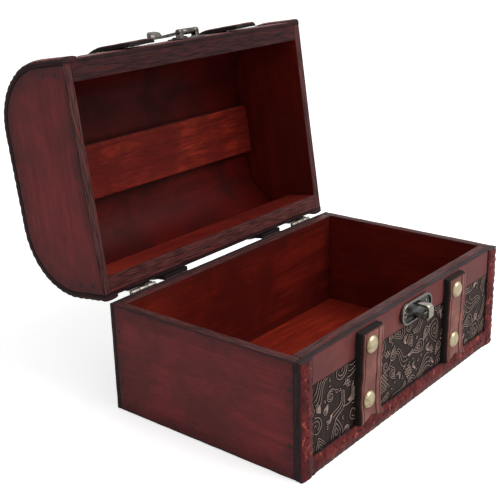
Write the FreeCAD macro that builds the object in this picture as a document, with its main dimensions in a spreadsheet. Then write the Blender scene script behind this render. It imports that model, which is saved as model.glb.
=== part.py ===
import FreeCAD, Part
import os
import re
import Sketcher

doc = FreeCAD.newDocument("TreasureChest")
V = FreeCAD.Vector

# Driving sizes in millimetres and degrees
SIZES = {
    "chest_width": 220.0,
    "chest_depth": 139.0,
    "base_height": 68.6,
    "lid_height": 64.8,
    "lid_overhang": 2.0,
    "shoulder_radius": 42.0,
    "open_angle": 98.0,
    "panel_thick": 6.2,
    "board_thick": 2.8,
    "floor_thick": 3.0,
    "skin_thick": 2.0,
    "rail_thick": 10.3,
    "slat_width": 36.0,
    "slat_thick": 6.0,
    "slat_shift": 5.0,
    "trim_thick": 2.3,
    "trim_width": 11.0,
    "leather_thick": 0.8,
    "leather_lift": 2.5,
    "band_height": 16.8,
    "strap_width": 20.5,
    "strap_core": 3.4,
    "lid_strap_core": 2.6,
    "strap_face": 1.2,
    "strap_inset": 0.4,
    "strap_end": 1.4,
    "strap_tail": 3.15,
    "strap_over": 2.0,
    "rivet_radius": 5.3,
    "rivet_rise": 2.5,
    "rivet_shift": 3.0,
    "rivet_drop": 9.0,
    "rivet_lift": 14.8,
    "shank_radius": 0.9,
    "nail_radius": 1.3,
    "nail_rise": 0.3,
    "nail_length": 16.0,
    "screw_radius": 1.5,
    "screw_length": 10.0,
    "knob_radius": 2.0,
    "knob_rise": 0.9,
    "knob_inset": 4.6,
    "drive_clearance": 0.05,
    "piece_gap": 0.3,
    "rim_gap": 0.75,
    "hinge_drop": 1.3,
    "hinge_inset": 29.5,
    "hinge_length": 20.0,
    "hinge_radius": 1.5,
    "pin_radius": 0.75,
    "pin_clearance": 0.05,
    "pin_head": 0.5,
    "leaf_thick": 0.6,
    "leaf_width": 8.0,
    "leaf_screw": 7.5,
    "keeper_length": 34.0,
    "keeper_height": 13.0,
    "keeper_thick": 1.4,
    "keeper_rim": 1.2,
    "keeper_drop": 8.3,
    "staple_width": 5.0,
    "staple_height": 9.6,
    "staple_reach": 10.2,
    "staple_wall": 1.8,
    "staple_bend": 3.0,
    "hasp_shift": 3.5,
    "hasp_foot": 1.0,
    "hasp_width": 18.0,
    "hasp_length": 20.0,
    "hasp_thick": 0.8,
    "hasp_corner": 3.0,
    "hasp_rise": 9.6,
    "hasp_standoff": 4.6,
    "barrel_radius": 2.0,
    "lug_width": 3.5,
    "flap_length": 28.0,
    "flap_thick": 1.2,
    "flap_corner": 4.0,
    "flap_fold": 185.0,
    "slot_play": 0.75,
    "lip_radius": 4.6,
    "lip_width": 10.0,
}

sheet = doc.addObject("Spreadsheet::Sheet", "Sizes")
for row, (name, number) in enumerate(SIZES.items(), start=1):
    sheet.set(f"A{row}", name)
    sheet.set(f"B{row}", str(number))
    sheet.setAlias(f"B{row}", name)
doc.recompute()

# Sizes that follow from the driving ones
DERIVED = {
    "HALF_W": "(chest_width / 2)",
    "HALF_D": "(chest_depth / 2)",
    "INNER_W": "(chest_width / 2 - panel_thick)",
    "FACE_W": "(chest_width / 2 - trim_width)",
    "FRONT_BOARD": "(chest_depth / 2 - trim_thick)",
    "FRONT_PANEL": "(chest_depth / 2 - trim_thick - board_thick)",
    "BACK_PANEL": "(chest_depth / 2 - board_thick)",
    "FRONT_SKIN": "(chest_depth / 2 - trim_thick + leather_thick)",
    "RIM": "(rim_gap + hinge_drop)",
    "AXIS_Y": "(chest_depth / 2 + hinge_radius + piece_gap)",
    "AXIS_Z": "(base_height + rim_gap - hinge_drop)",
    "COVER": "(skin_thick + trim_thick)",
    "SKIN_FACE": "(skin_thick + leather_thick)",
    "LID_D": "(chest_depth + hinge_radius + piece_gap + lid_overhang)",
    "SHOULDER": "(rim_gap + hinge_drop + lid_height - shoulder_radius)",
    "SLAT_Y": "(-(chest_depth + hinge_radius + piece_gap + lid_overhang) / 2 + slat_shift)",
    "STRAP_X": "(chest_width / 4.5)",
    "HINGE_X": "(chest_width / 2 - hinge_inset)",
    "KEEPER_Z": "(base_height - keeper_drop)",
    "HASP_LOW": "(rim_gap + hinge_drop + hasp_foot)",
    "LID_STRAP": "(skin_thick + leather_thick + lid_strap_core)",
}


def bound(text):
    """Write an expression of size names so that it reads the sheet."""
    for name, meaning in DERIVED.items():
        text = re.sub(rf"\b{name}\b", meaning, text)
    return re.sub(r"\b([a-z]+(?:_[a-z]+)+)\b", r"Sizes.\1", text)


def size(text):
    """Read an expression of size names as a number."""
    return float(sheet.evalExpression(bound(text)))


def shift(x="0", y="0", z="0", turn="0"):
    """A placement expression: a move, with a turn about the x axis."""
    return f"placement(vector({x}; {y}; {z}); rotation(vector(1; 0; 0); {turn}))"


BASE = shift()
LID_SHUT = shift("0", "AXIS_Y", "AXIS_Z")
LID = shift("0", "AXIS_Y", "AXIS_Z", "-open_angle")

nodes = {}


def place(item, frame):
    item.setExpression("Placement", bound(frame))


def board(label, x, y, z, frame=BASE):
    """A flat board between two limits on each axis."""
    box = doc.addObject("Part::Box", label)
    for side, (start, end) in zip(("Length", "Width", "Height"), (x, y, z)):
        box.setExpression(side, bound(f"({end}) - ({start})"))
    place(box, f"{frame} * {shift(x[0], y[0], z[0])}")
    nodes[label] = box


def new_body(label, frame=BASE):
    body = doc.addObject("PartDesign::Body", label)
    place(body, frame)
    nodes[label] = body
    return body


def new_sketch(body, role, offset="0"):
    """An empty sketch on one of the body's origin planes, moved along its normal."""
    sketch = body.newObject("Sketcher::SketchObject", f"{body.Name}_sketch")
    support = next(f for f in body.Origin.OriginFeatures if f.Role == role)
    sketch.AttachmentSupport = [(support, "")]
    sketch.MapMode = "FlatFace"
    sketch.setExpression("AttachmentOffset.Base.z", bound(offset))
    return sketch


def pin_point(sketch, geometry, point, corner):
    """Tie one point to the sketch origin with a size on each axis."""
    for kind, axis, text in (("DistanceX", -2, corner[0]), ("DistanceY", -1, corner[1])):
        value = size(text)
        if abs(value) < 1e-9:
            sketch.addConstraint(Sketcher.Constraint("PointOnObject", geometry, point, axis))
            continue
        ends = (-1, 1, geometry, point) if value > 0 else (geometry, point, -1, 1)
        number = sketch.addConstraint(Sketcher.Constraint(kind, *ends, abs(value)))
        sign = "" if value > 0 else "-"
        sketch.setExpression(f"Constraints[{number}]", bound(f"{sign}({text})"))


def draw_ring(sketch, corners, rounds=()):
    """Draw a closed outline through the corners; the edges listed in rounds are quarter circles."""
    spots = [V(size(x), size(y), 0) for x, y in corners]
    first = sketch.GeometryCount
    count = len(corners)
    upright = abs(spots[0].x - spots[-1].x) < 1e-9
    for i, start in enumerate(spots):
        end = spots[(i + 1) % count]
        if i in rounds:
            centre = V(end.x, start.y, 0) if upright else V(start.x, end.y, 0)
            reach = (start - centre).Length
            middle = centre + (start + end - centre * 2).normalize() * reach
            leftward = (start - centre).cross(end - centre).z > 0
            first_end, last_end = (start, end) if leftward else (end, start)
            sketch.addGeometry(Part.Arc(first_end, middle, last_end), False)
            upright = not upright
        else:
            sketch.addGeometry(Part.LineSegment(start, end), False)
            upright = abs(start.x - end.x) < 1e-9
    heads = {}
    for i in range(count):
        arc = sketch.Geometry[first + i]
        flipped = i in rounds and (arc.StartPoint - spots[i]).Length > 1e-6
        heads[i] = (2, 1) if flipped else (1, 2)
    for i in range(count):
        before = (i - 1) % count
        ends = (first + before, heads[before][1], first + i, heads[i][0])
        kind = "Tangent" if i in rounds else "Coincident"
        sketch.addConstraint(Sketcher.Constraint(kind, *ends))
    for i, corner in enumerate(corners):
        pin_point(sketch, first + i, heads[i][0], corner)


def draw_circle(sketch, centre, radius):
    spot = V(size(centre[0]), size(centre[1]), 0)
    number = sketch.addGeometry(Part.Circle(spot, V(0, 0, 1), size(radius)), False)
    pin_point(sketch, number, 3, centre)
    tie = sketch.addConstraint(Sketcher.Constraint("Radius", number, size(radius)))
    sketch.setExpression(f"Constraints[{tie}]", bound(radius))


def pad(body, sketch, length):
    feature = body.newObject("PartDesign::Pad", f"{body.Name}_pad")
    feature.Profile = sketch
    feature.setExpression("Length", bound(length))
    return feature


def cut_through(body, sketch):
    feature = body.newObject("PartDesign::Pocket", f"{body.Name}_cut")
    feature.Profile = sketch
    feature.Type = "ThroughAll"
    feature.Midplane = True
    return feature


def rod(body, x, radius, centre=("0", "0")):
    """A round bar along x between two limits."""
    sketch = new_sketch(body, "YZ_Plane", x[0])
    draw_circle(sketch, centre, radius)
    pad(body, sketch, f"({x[1]}) - ({x[0]})")


def block(body, x, y, z):
    """A square-cornered block added to a body between two limits on each axis."""
    sketch = new_sketch(body, "YZ_Plane", x[0])
    draw_ring(sketch, [(y[0], z[0]), (y[1], z[0]), (y[1], z[1]), (y[0], z[1])])
    pad(body, sketch, f"({x[1]}) - ({x[0]})")


def rounded(x, z, radius):
    """Corners of a rectangle whose four corners are quarter circles."""
    left, right = x
    low, high = z
    corners = [
        (f"{left} + {radius}", low), (f"{right} - {radius}", low),
        (right, f"{low} + {radius}"), (right, f"{high} - {radius}"),
        (f"{right} - {radius}", high), (f"{left} + {radius}", high),
        (left, f"{high} - {radius}"), (left, f"{low} + {radius}"),
    ]
    return corners, (1, 3, 5, 7)


def oblong(x, z, half_length, radius):
    """Corners of a bar with half-round ends."""
    straight = f"{half_length} - {radius}"
    corners = [
        (f"{x} - ({straight})", f"{z} - {radius}"), (f"{x} + ({straight})", f"{z} - {radius}"),
        (f"{x} + {half_length}", z), (f"{x} + ({straight})", f"{z} + {radius}"),
        (f"{x} - ({straight})", f"{z} + {radius}"), (f"{x} - {half_length}", z),
    ]
    return corners, (1, 2, 4, 5)


def lid_back(out):
    return f"-COVER + {out}"


def lid_front(out):
    return f"-LID_D + COVER - ({out})"


def lid_top(out):
    return f"RIM + lid_height - COVER + {out}"


def arch(out, foot_back, foot_front):
    """Half of the lid's outline, at a distance outside the end panels, from back to front."""
    front_bend = "-LID_D + shoulder_radius"
    return [
        (lid_back(out), f"RIM + {foot_back}"), (lid_back(out), "SHOULDER"),
        ("-shoulder_radius", lid_top(out)), (front_bend, lid_top(out)),
        (lid_front(out), "SHOULDER"), (lid_front(out), f"RIM + {foot_front}"),
    ]


def shell(label, x, inside, outside, foot_back="0", foot_front="0"):
    """A sheet bent over the lid, between two distances outside the end panels."""
    body = new_body(label, LID)
    sketch = new_sketch(body, "YZ_Plane", x[0])
    outer = arch(outside, foot_back, foot_front)
    inner = arch(inside, foot_back, foot_front)
    draw_ring(sketch, outer + inner[::-1], (1, 3, 7, 9))
    pad(body, sketch, f"({x[1]}) - ({x[0]})")


# Driven fasteners: a head on the surface and a shank in the wood

def spin(points):
    """Turn a half outline of radius and height pairs about the z axis."""
    wire = Part.makePolygon([V(r, 0, z) for r, z in points + points[:1]])
    return Part.Face(wire).revolve(V(0, 0, 0), V(0, 0, 1), 360)


def dome_head(radius, rise):
    ball = (radius ** 2 + rise ** 2) / (2 * rise)
    sphere = Part.makeSphere(ball, V(0, 0, rise - ball))
    return sphere.common(Part.makeCylinder(radius, rise, V(0, 0, 0)))


def flat_head(radius, rise):
    return spin([(0, 0), (radius, 0), (radius * 0.8, rise), (0, rise)])


def fasteners(label, head, length, spots, frame=BASE, seat=0.0):
    """A set of alike fasteners and the holes they need; spots are points with outward directions."""
    shank = size("shank_radius")
    play = size("drive_clearance")
    solid = head.fuse(Part.makeCylinder(shank, length, V(0, 0, -length)))
    hole = Part.makeCylinder(shank + play, length + play, V(0, 0, -length - play))
    if seat:
        hole = hole.fuse(Part.makeCylinder(seat + play, 2 * seat, V(0, 0, 0)))
    sets = []
    for name, shape in ((label, solid.removeSplitter()), (f"{label}_holes", hole)):
        copies = []
        for point, outward in spots:
            one = shape.copy()
            one.Placement = FreeCAD.Placement(V(*point), FreeCAD.Rotation(V(0, 0, 1), V(*outward)))
            copies.append(one)
        item = doc.addObject("Part::Feature", name)
        item.Shape = Part.makeCompound(copies)
        place(item, frame)
        sets.append(item)
    nodes[label] = sets[0]
    return sets[1]


def drill(holes, labels):
    """Cut a set of fastener holes out of the named pieces."""
    for label in labels:
        blank = nodes[label]
        blank.Label = f"{label}_blank"
        cut = doc.addObject("Part::Cut", f"{label}_drilled")
        cut.Base = blank
        cut.Tool = holes
        cut.Label = label
        nodes[label] = cut


def both(text):
    """The same size on the left and on the right."""
    return f"-{text}", text


SIDES = (("left", -1), ("right", 1))

# Base carcase
board("base_left_end", ("-HALF_W", "-INNER_W"), ("-FRONT_PANEL", "BACK_PANEL"), ("0", "base_height"))
board("base_right_end", ("INNER_W", "HALF_W"), ("-FRONT_PANEL", "BACK_PANEL"), ("0", "base_height"))
board("base_front_panel", both("INNER_W"), ("-FRONT_PANEL", "-FRONT_PANEL + panel_thick"),
      ("0", "base_height"))
board("base_back_panel", both("INNER_W"), ("BACK_PANEL - panel_thick", "BACK_PANEL"),
      ("0", "base_height"))
board("base_floor", both("INNER_W"), ("-FRONT_PANEL + panel_thick", "BACK_PANEL - panel_thick"),
      ("0", "floor_thick"))
board("base_front_board", both("HALF_W"), ("-FRONT_BOARD", "-FRONT_PANEL"), ("0", "base_height"))
board("base_back_board", both("HALF_W"), ("BACK_PANEL", "HALF_D"), ("0", "base_height"))

# Base front covering
board("base_left_trim", ("-HALF_W", "-FACE_W"), ("-HALF_D", "-FRONT_BOARD"), ("0", "base_height"))
board("base_right_trim", ("FACE_W", "HALF_W"), ("-HALF_D", "-FRONT_BOARD"), ("0", "base_height"))
board("base_bottom_trim", both("FACE_W"), ("-HALF_D", "-FRONT_BOARD"), ("0", "trim_width"))
board("base_leather_band", both("FACE_W"), ("-FRONT_SKIN", "-FRONT_BOARD"),
      ("base_height - band_height", "base_height"))
board("base_embossed_leather", both("FACE_W"), ("-FRONT_SKIN", "-FRONT_BOARD"),
      ("trim_width", "base_height - band_height"))

# Base straps with a swallow-tail lower end
for side, sign in SIDES:
    middle = f"{sign} * STRAP_X"
    for layer, start, thick, inset in (("core", "FRONT_SKIN", "strap_core", "0"),
                                       ("face", "FRONT_SKIN + strap_core", "strap_face", "strap_inset")):
        strap = new_body(f"base_{side}_strap_{layer}")
        drawing = new_sketch(strap, "XZ_Plane", start)
        reach = f"(strap_width / 2 - {inset})"
        foot = f"trim_width + {inset}"
        top = f"base_height - strap_end - {inset}"
        draw_ring(drawing, [
            (f"{middle} - {reach}", foot), (middle, f"{foot} + strap_width / 6"),
            (f"{middle} + {reach}", foot), (f"{middle} + {reach}", top),
            (f"{middle} - {reach}", top)])
        pad(strap, drawing, thick)

# Keeper plate with a raised rim, and its staple
keeper = new_body("keeper_plate")
drawing = new_sketch(keeper, "XZ_Plane", "FRONT_SKIN")
draw_ring(drawing, *oblong("hasp_shift", "KEEPER_Z", "keeper_length / 2", "keeper_height / 2"))
pad(keeper, drawing, "keeper_thick")
drawing = new_sketch(keeper, "XZ_Plane", "FRONT_SKIN + keeper_thick")
draw_ring(drawing, *oblong("hasp_shift", "KEEPER_Z", "keeper_length / 2", "keeper_height / 2"))
draw_ring(drawing, *oblong("hasp_shift", "KEEPER_Z", "(keeper_length / 2 - keeper_rim)",
                           "(keeper_height / 2 - keeper_rim)"))
pad(keeper, drawing, "keeper_rim")

staple = new_body("keeper_staple", shift("hasp_shift", "-FRONT_SKIN - keeper_thick", "KEEPER_Z"))
drawing = new_sketch(staple, "YZ_Plane", "-staple_width / 2")
half = "staple_height / 2"
bend = f"{half} - staple_bend"
wall = f"{half} - staple_wall"
turn = "-staple_reach + staple_bend"
far = "-staple_reach + staple_wall"
draw_ring(drawing, [
    ("0", f"-{half}"), (turn, f"-{half}"), ("-staple_reach", f"-({bend})"),
    ("-staple_reach", bend), (turn, half), ("0", half),
    ("0", wall), (turn, wall), (far, bend),
    (far, f"-({bend})"), (turn, f"-({wall})"), ("0", f"-({wall})")], (1, 3, 7, 9))
pad(staple, drawing, "staple_width")

# Lid carcase
for side, start, end in (("left", "-HALF_W", "-INNER_W"), ("right", "INNER_W", "HALF_W")):
    lid_end = new_body(f"lid_{side}_end", LID)
    drawing = new_sketch(lid_end, "YZ_Plane", start)
    draw_ring(drawing, arch("0", "0", "0"), (1, 3))
    pad(lid_end, drawing, "panel_thick")
board("lid_front_rail", both("INNER_W"), (lid_front("0"), lid_front("-rail_thick")),
      ("RIM", "SHOULDER"), LID)
board("lid_back_rail", both("INNER_W"), (lid_back("-rail_thick"), lid_back("0")),
      ("RIM", "SHOULDER"), LID)
board("lid_top_slat", both("INNER_W"), ("SLAT_Y - slat_width / 2", "SLAT_Y + slat_width / 2"),
      (lid_top("-slat_thick"), lid_top("0")), LID)
shell("lid_skin", both("HALF_W"), "0", "skin_thick")

# Lid covering
shell("lid_left_trim", ("-HALF_W", "-FACE_W"), "skin_thick", "COVER")
shell("lid_right_trim", ("FACE_W", "HALF_W"), "skin_thick", "COVER")
board("lid_leather_band", both("FACE_W"), (lid_front("SKIN_FACE"), lid_front("skin_thick")),
      ("RIM", "RIM + band_height"), LID)
shell("lid_embossed_leather", both("FACE_W"), "skin_thick", "SKIN_FACE", "leather_lift", "band_height")
for side, sign in SIDES:
    middle = f"{sign} * STRAP_X"
    edges = (f"{middle} - strap_width / 2", f"{middle} + strap_width / 2")
    face_edges = (f"{edges[0]} + strap_inset", f"{edges[1]} - strap_inset")
    shell(f"lid_{side}_strap_core", edges, "SKIN_FACE", "LID_STRAP", "0", "-strap_over")
    shell(f"lid_{side}_strap_face", face_edges, "LID_STRAP", "LID_STRAP + strap_face",
          "-strap_tail", "-strap_over + strap_inset")

# Butt hinges on the outside of the back: two base knuckles, one lid knuckle, and a headed pin
KNUCKLE = "(hinge_length - 2 * piece_gap) / 3"
OUTER = "(hinge_length / 2)"
INNER = f"({KNUCKLE} / 2 + piece_gap)"
BASE_BED = "(-hinge_radius - piece_gap)"
LID_BED = "(-COVER + SKIN_FACE)"
for side, sign in SIDES:
    middle = shift(f"{sign} * HINGE_X")
    leaf_parts = (
        ("base", LID_SHUT, "-", BASE_BED, ((f"-{OUTER}", f"-{INNER}"), (INNER, OUTER))),
        ("lid", LID, "", LID_BED, ((f"-{KNUCKLE} / 2", f"{KNUCKLE} / 2"),)),
    )
    for owner, frame, way, bed, knuckles in leaf_parts:
        leaf = new_body(f"hinge_{side}_{owner}_leaf", f"{frame} * {middle}")
        through = (bed, f"{bed} + leaf_thick")
        near = f"{way}(hinge_radius + piece_gap)"
        block(leaf, both(OUTER), through, (near, f"{way}(hinge_radius + leaf_width)"))
        for span in knuckles:
            block(leaf, span, through, ("0", near))
            rod(leaf, span, "hinge_radius")
        drawing = new_sketch(leaf, "YZ_Plane")
        draw_circle(drawing, ("0", "0"), "pin_radius + pin_clearance")
        cut_through(leaf, drawing)
    pin = new_body(f"hinge_{side}_pin", f"{LID_SHUT} * {middle}")
    rod(pin, (f"-{OUTER}", OUTER), "pin_radius")
    for head in ((f"-{OUTER} - pin_head", f"-{OUTER}"), (OUTER, f"{OUTER} + pin_head")):
        rod(pin, head, "hinge_radius - piece_gap")

# Hasp plate with two lugs, its pin, and the slotted flap
PIVOT_Y = f"({lid_front('SKIN_FACE')} - hasp_standoff)"
PIVOT_Z = "(RIM + hasp_rise)"
HASP_HALF = "(hasp_width / 2)"
PLATE_BACK = "(LID_D - COVER + SKIN_FACE)"
plate = new_body("hasp_plate", LID)
drawing = new_sketch(plate, "XZ_Plane", PLATE_BACK)
draw_ring(drawing, *rounded((f"hasp_shift - {HASP_HALF}", f"hasp_shift + {HASP_HALF}"),
                            ("HASP_LOW", "HASP_LOW + hasp_length"), "hasp_corner"))
pad(plate, drawing, "hasp_thick")
for start in (f"hasp_shift - {HASP_HALF}", f"hasp_shift + {HASP_HALF} - lug_width"):
    lug = (start, f"{start} + lug_width")
    block(plate, lug, (PIVOT_Y, f"-{PLATE_BACK} - hasp_thick"),
          (f"{PIVOT_Z} - barrel_radius", f"{PIVOT_Z} + barrel_radius"))
    rod(plate, lug, "barrel_radius", (PIVOT_Y, PIVOT_Z))
drawing = new_sketch(plate, "YZ_Plane")
draw_circle(drawing, (PIVOT_Y, PIVOT_Z), "pin_radius + pin_clearance")
cut_through(plate, drawing)

PIVOT = f"{LID} * {shift('hasp_shift', PIVOT_Y, PIVOT_Z)}"
pin = new_body("hasp_pin", PIVOT)
rod(pin, both(HASP_HALF), "pin_radius")
for head in ((f"-{HASP_HALF} - pin_head", f"-{HASP_HALF}"), (HASP_HALF, f"{HASP_HALF} + pin_head")):
    rod(pin, head, "barrel_radius - 2 * piece_gap")

flap = new_body("hasp_flap", f"{PIVOT} * {shift(turn='-flap_fold')}")
NECK = f"({HASP_HALF} - lug_width - piece_gap)"
SLOT = "(staple_width / 2 + slot_play)"
SLOT_TALL = "(staple_height / 2 + slot_play)"
SLOT_MID = f"(KEEPER_Z - AXIS_Z - {PIVOT_Z})"
rod(flap, both(NECK), "barrel_radius")
drawing = new_sketch(flap, "XZ_Plane", "-flap_thick / 2")
collar = "-barrel_radius - 2 * piece_gap"
draw_ring(drawing, [
    (f"-{NECK}", "0"), (f"-{NECK}", collar), (f"-{HASP_HALF}", collar),
    (f"-{HASP_HALF}", "-flap_length + flap_corner"), (f"-{HASP_HALF} + flap_corner", "-flap_length"),
    (f"{HASP_HALF} - flap_corner", "-flap_length"), (HASP_HALF, "-flap_length + flap_corner"),
    (HASP_HALF, collar), (NECK, collar), (NECK, "0")], (3, 5))
draw_ring(drawing, *rounded(both(SLOT), (f"{SLOT_MID} - {SLOT_TALL}", f"{SLOT_MID} + {SLOT_TALL}"),
                            "2 * slot_play"))
pad(flap, drawing, "flap_thick")
drawing = new_sketch(flap, "YZ_Plane", "-lip_width / 2")
draw_ring(drawing, [
    ("-flap_thick / 2", "-flap_length"),
    ("flap_thick / 2 + lip_radius", "-flap_length - lip_radius - flap_thick"),
    ("flap_thick / 2 + lip_radius", "-flap_length - lip_radius"),
    ("flap_thick / 2", "-flap_length"),
    ("flap_thick / 2", "-flap_length + flap_thick"),
    ("-flap_thick / 2", "-flap_length + flap_thick")], (0, 2))
pad(flap, drawing, "lip_width")
bore = new_body("hasp_flap_bore", f"{PIVOT} * {shift(turn='-flap_fold')}")
rod(bore, both(HASP_HALF), "pin_radius + pin_clearance")
del nodes["hasp_flap_bore"]
doc.recompute()
drill(bore, ["hasp_flap"])

# Rivets on the straps
dome = dome_head(size("rivet_radius"), size("rivet_rise"))
strap_out = size("FRONT_SKIN + strap_core + strap_face")
rivet_levels = (size("base_height - rivet_drop"), size("trim_width + rivet_lift"))
rivet_spots = [((sign * size("STRAP_X") - size("rivet_shift"), -strap_out, level), (0, -1, 0))
               for _, sign in SIDES for level in rivet_levels]
rivet_length = size("strap_face + strap_core + leather_thick + board_thick - 4 * drive_clearance")
holes = fasteners("base_rivets", dome, rivet_length, rivet_spots)
drill(holes, [f"base_{side}_strap_{layer}" for side, _ in SIDES for layer in ("core", "face")])
drill(holes, ["base_leather_band", "base_embossed_leather", "base_front_board"])

lid_out = "LID_STRAP + strap_face"
rivet_spots = []
for _, sign in SIDES:
    across = sign * size("STRAP_X") - size("rivet_shift")
    crown = size(lid_top(lid_out))
    rivet_spots += [
        ((across, size("-shoulder_radius - rivet_radius"), crown), (0, 0, 1)),
        ((across, size("-LID_D + shoulder_radius + rivet_radius"), crown), (0, 0, 1)),
        ((across, size(lid_back(lid_out)), size("SHOULDER - rivet_radius")), (0, 1, 0)),
    ]
rivet_length = size("strap_face + lid_strap_core + leather_thick + skin_thick - 4 * drive_clearance")
holes = fasteners("lid_rivets", dome, rivet_length, rivet_spots, LID)
drill(holes, [f"lid_{side}_strap_{layer}" for side, _ in SIDES for layer in ("core", "face")])
drill(holes, ["lid_embossed_leather", "lid_skin"])

# Panel nails through the ends
nail = flat_head(size("nail_radius"), size("nail_rise"))
front_row = -size("FRONT_PANEL - panel_thick / 2")
back_row = size("BACK_PANEL - panel_thick / 2")
nail_levels = [size("base_height") * part for part in (0.29, 0.76)]
nail_spots = [((sign * size("HALF_W"), row, level), (sign, 0, 0))
              for _, sign in SIDES for row in (front_row, back_row) for level in nail_levels]
holes = fasteners("base_nails", nail, size("nail_length"), nail_spots)
drill(holes, ["base_left_end", "base_right_end", "base_front_panel", "base_back_panel"])

nail_spots = []
for _, sign in SIDES:
    edge = sign * size("HALF_W")
    for row in (size(lid_front("-rail_thick / 2")), size(lid_back("-rail_thick / 2"))):
        nail_spots += [((edge, row, size(f"RIM + (SHOULDER - RIM) * {part}")), (sign, 0, 0))
                       for part in (0.39, 0.86)]
    for row in ("SLAT_Y - slat_width / 9", "SLAT_Y + slat_width / 6"):
        nail_spots.append(((edge, size(row), size(lid_top("-slat_thick / 2"))), (sign, 0, 0)))
holes = fasteners("lid_nails", nail, size("nail_length"), nail_spots, LID)
drill(holes, ["lid_left_end", "lid_right_end", "lid_front_rail", "lid_back_rail", "lid_top_slat"])

# Hinge screws, flush with the leaves
screw = Part.makeCylinder(size("screw_radius"), size("leaf_thick"))
screw_row = size("hinge_radius + leaf_width * 0.575")
screw_sets = (
    ("base", LID_SHUT, BASE_BED, -screw_row, ["base_back_board", "base_back_panel"]),
    ("lid", LID, LID_BED, screw_row, ["lid_embossed_leather", "lid_skin", "lid_back_rail"]),
)
for owner, frame, bed, level, wood in screw_sets:
    screw_spots = [((sign * size("HINGE_X") + size("hinge_length") * step, size(bed), level), (0, 1, 0))
                   for _, sign in SIDES for step in (-0.3, 0.3)]
    holes = fasteners(f"hinge_{owner}_screws", screw, size("leaf_screw"), screw_spots, frame,
                      size("screw_radius"))
    drill(holes, [f"hinge_{side}_{owner}_leaf" for side, _ in SIDES] + wood)

# Keeper and hasp screws
knob = dome_head(size("knob_radius"), size("knob_rise"))
keeper_face = size("FRONT_SKIN + keeper_thick")
end_reach = size("keeper_length / 2 - knob_inset")
screw_spots = [((size("hasp_shift") + step, -keeper_face, size("KEEPER_Z")), (0, -1, 0))
               for step in (-end_reach, end_reach)]
holes = fasteners("keeper_screws", knob, size("screw_length"), screw_spots)
drill(holes, ["keeper_plate", "base_leather_band", "base_front_board", "base_front_panel"])

hasp_face = -size(PLATE_BACK) - size("hasp_thick")
SCREW_SIDE = "(hasp_width / 2 - 2 * knob_radius)"
screw_spots = [((size(across), hasp_face, size(level)), (0, -1, 0)) for across, level in (
    (f"hasp_shift - {SCREW_SIDE}", "HASP_LOW + hasp_length - 2 * knob_radius"),
    (f"hasp_shift + {SCREW_SIDE}", "HASP_LOW + hasp_length - 2 * knob_radius"),
    ("hasp_shift", "HASP_LOW + 2 * knob_radius"))]
holes = fasteners("hasp_screws", knob, size("screw_length"), screw_spots, LID)
drill(holes, ["hasp_plate", "lid_leather_band", "lid_embossed_leather", "lid_skin", "lid_front_rail"])

# Check every piece, then write it
doc.recompute()
for item in doc.Objects:
    if "Invalid" in item.State or "Error" in item.State:
        raise RuntimeError(f"{item.Label}: {item.State}")
os.makedirs("parts", exist_ok=True)
for label, item in nodes.items():
    if item.Shape.isNull() or not item.Shape.isValid():
        raise RuntimeError(f"{label}: bad shape")
    item.Shape.exportStep(f"parts/{label}.step")
    print(label, len(item.Shape.Solids), round(item.Shape.Volume, 1))
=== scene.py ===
import math
import random
import bmesh
import bpy
import numpy as np
from mathutils import Matrix, Vector, noise


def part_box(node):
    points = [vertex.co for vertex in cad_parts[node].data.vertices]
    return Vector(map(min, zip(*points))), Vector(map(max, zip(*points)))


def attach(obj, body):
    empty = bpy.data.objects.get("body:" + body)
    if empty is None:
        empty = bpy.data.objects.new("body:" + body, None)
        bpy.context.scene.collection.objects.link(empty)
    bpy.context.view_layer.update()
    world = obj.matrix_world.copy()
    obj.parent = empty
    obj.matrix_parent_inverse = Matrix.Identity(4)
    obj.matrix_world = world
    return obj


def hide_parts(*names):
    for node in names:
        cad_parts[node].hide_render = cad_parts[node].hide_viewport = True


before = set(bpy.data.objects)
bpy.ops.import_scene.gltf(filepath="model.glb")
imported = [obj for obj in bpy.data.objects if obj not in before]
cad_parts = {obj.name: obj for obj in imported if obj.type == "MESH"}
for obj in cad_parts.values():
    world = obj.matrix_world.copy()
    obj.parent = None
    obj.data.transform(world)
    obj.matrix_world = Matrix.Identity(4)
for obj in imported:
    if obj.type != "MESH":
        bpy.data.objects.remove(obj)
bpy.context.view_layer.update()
MM = 0.001

# The view: a camera off the chest's front left corner, a little above the open box, its
# place and angles fitted so that the corners fall where the photograph has them.
view_turn = math.radians(-50.4)
view_rise = math.radians(19.29)
view_roll = math.radians(-1.59)
view_offset = Vector((-42.94, 78.98, 623.8)) * MM

view_back = Vector((math.sin(view_turn) * math.cos(view_rise),
                    -math.cos(view_turn) * math.cos(view_rise), math.sin(view_rise)))
view_right = Vector((0, 0, 1)).cross(view_back).normalized()
view_up = view_back.cross(view_right)
view_axes = Matrix((view_right, view_up, view_back)).transposed() @ Matrix.Rotation(view_roll, 3, "Z")
camera = bpy.data.objects.new("camera", bpy.data.cameras.new("camera"))
camera.data.sensor_width = 36
camera.data.lens = 69.43
camera.data.clip_start = 0.01
camera.matrix_world = Matrix.Translation(view_axes @ view_offset) @ view_axes.to_4x4()
bpy.context.collection.objects.link(camera)
bpy.context.scene.camera = camera


# Base carcase: two end panels, a front and a back panel, thin outer boards and a floor,
# all of stained plywood, nailed through the ends. The stain is redder inside the box,
# and the cut edges are rubbed grey with the plies showing.
def dye(red, green, blue):
    """A colour as the eye reads it on a screen, made linear."""
    tones = [tone / 255 for tone in (red, green, blue)]
    return tuple(t / 12.92 if t <= 0.04045 else ((t + 0.055) / 1.055) ** 2.4 for t in tones) + (1.0,)


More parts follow.
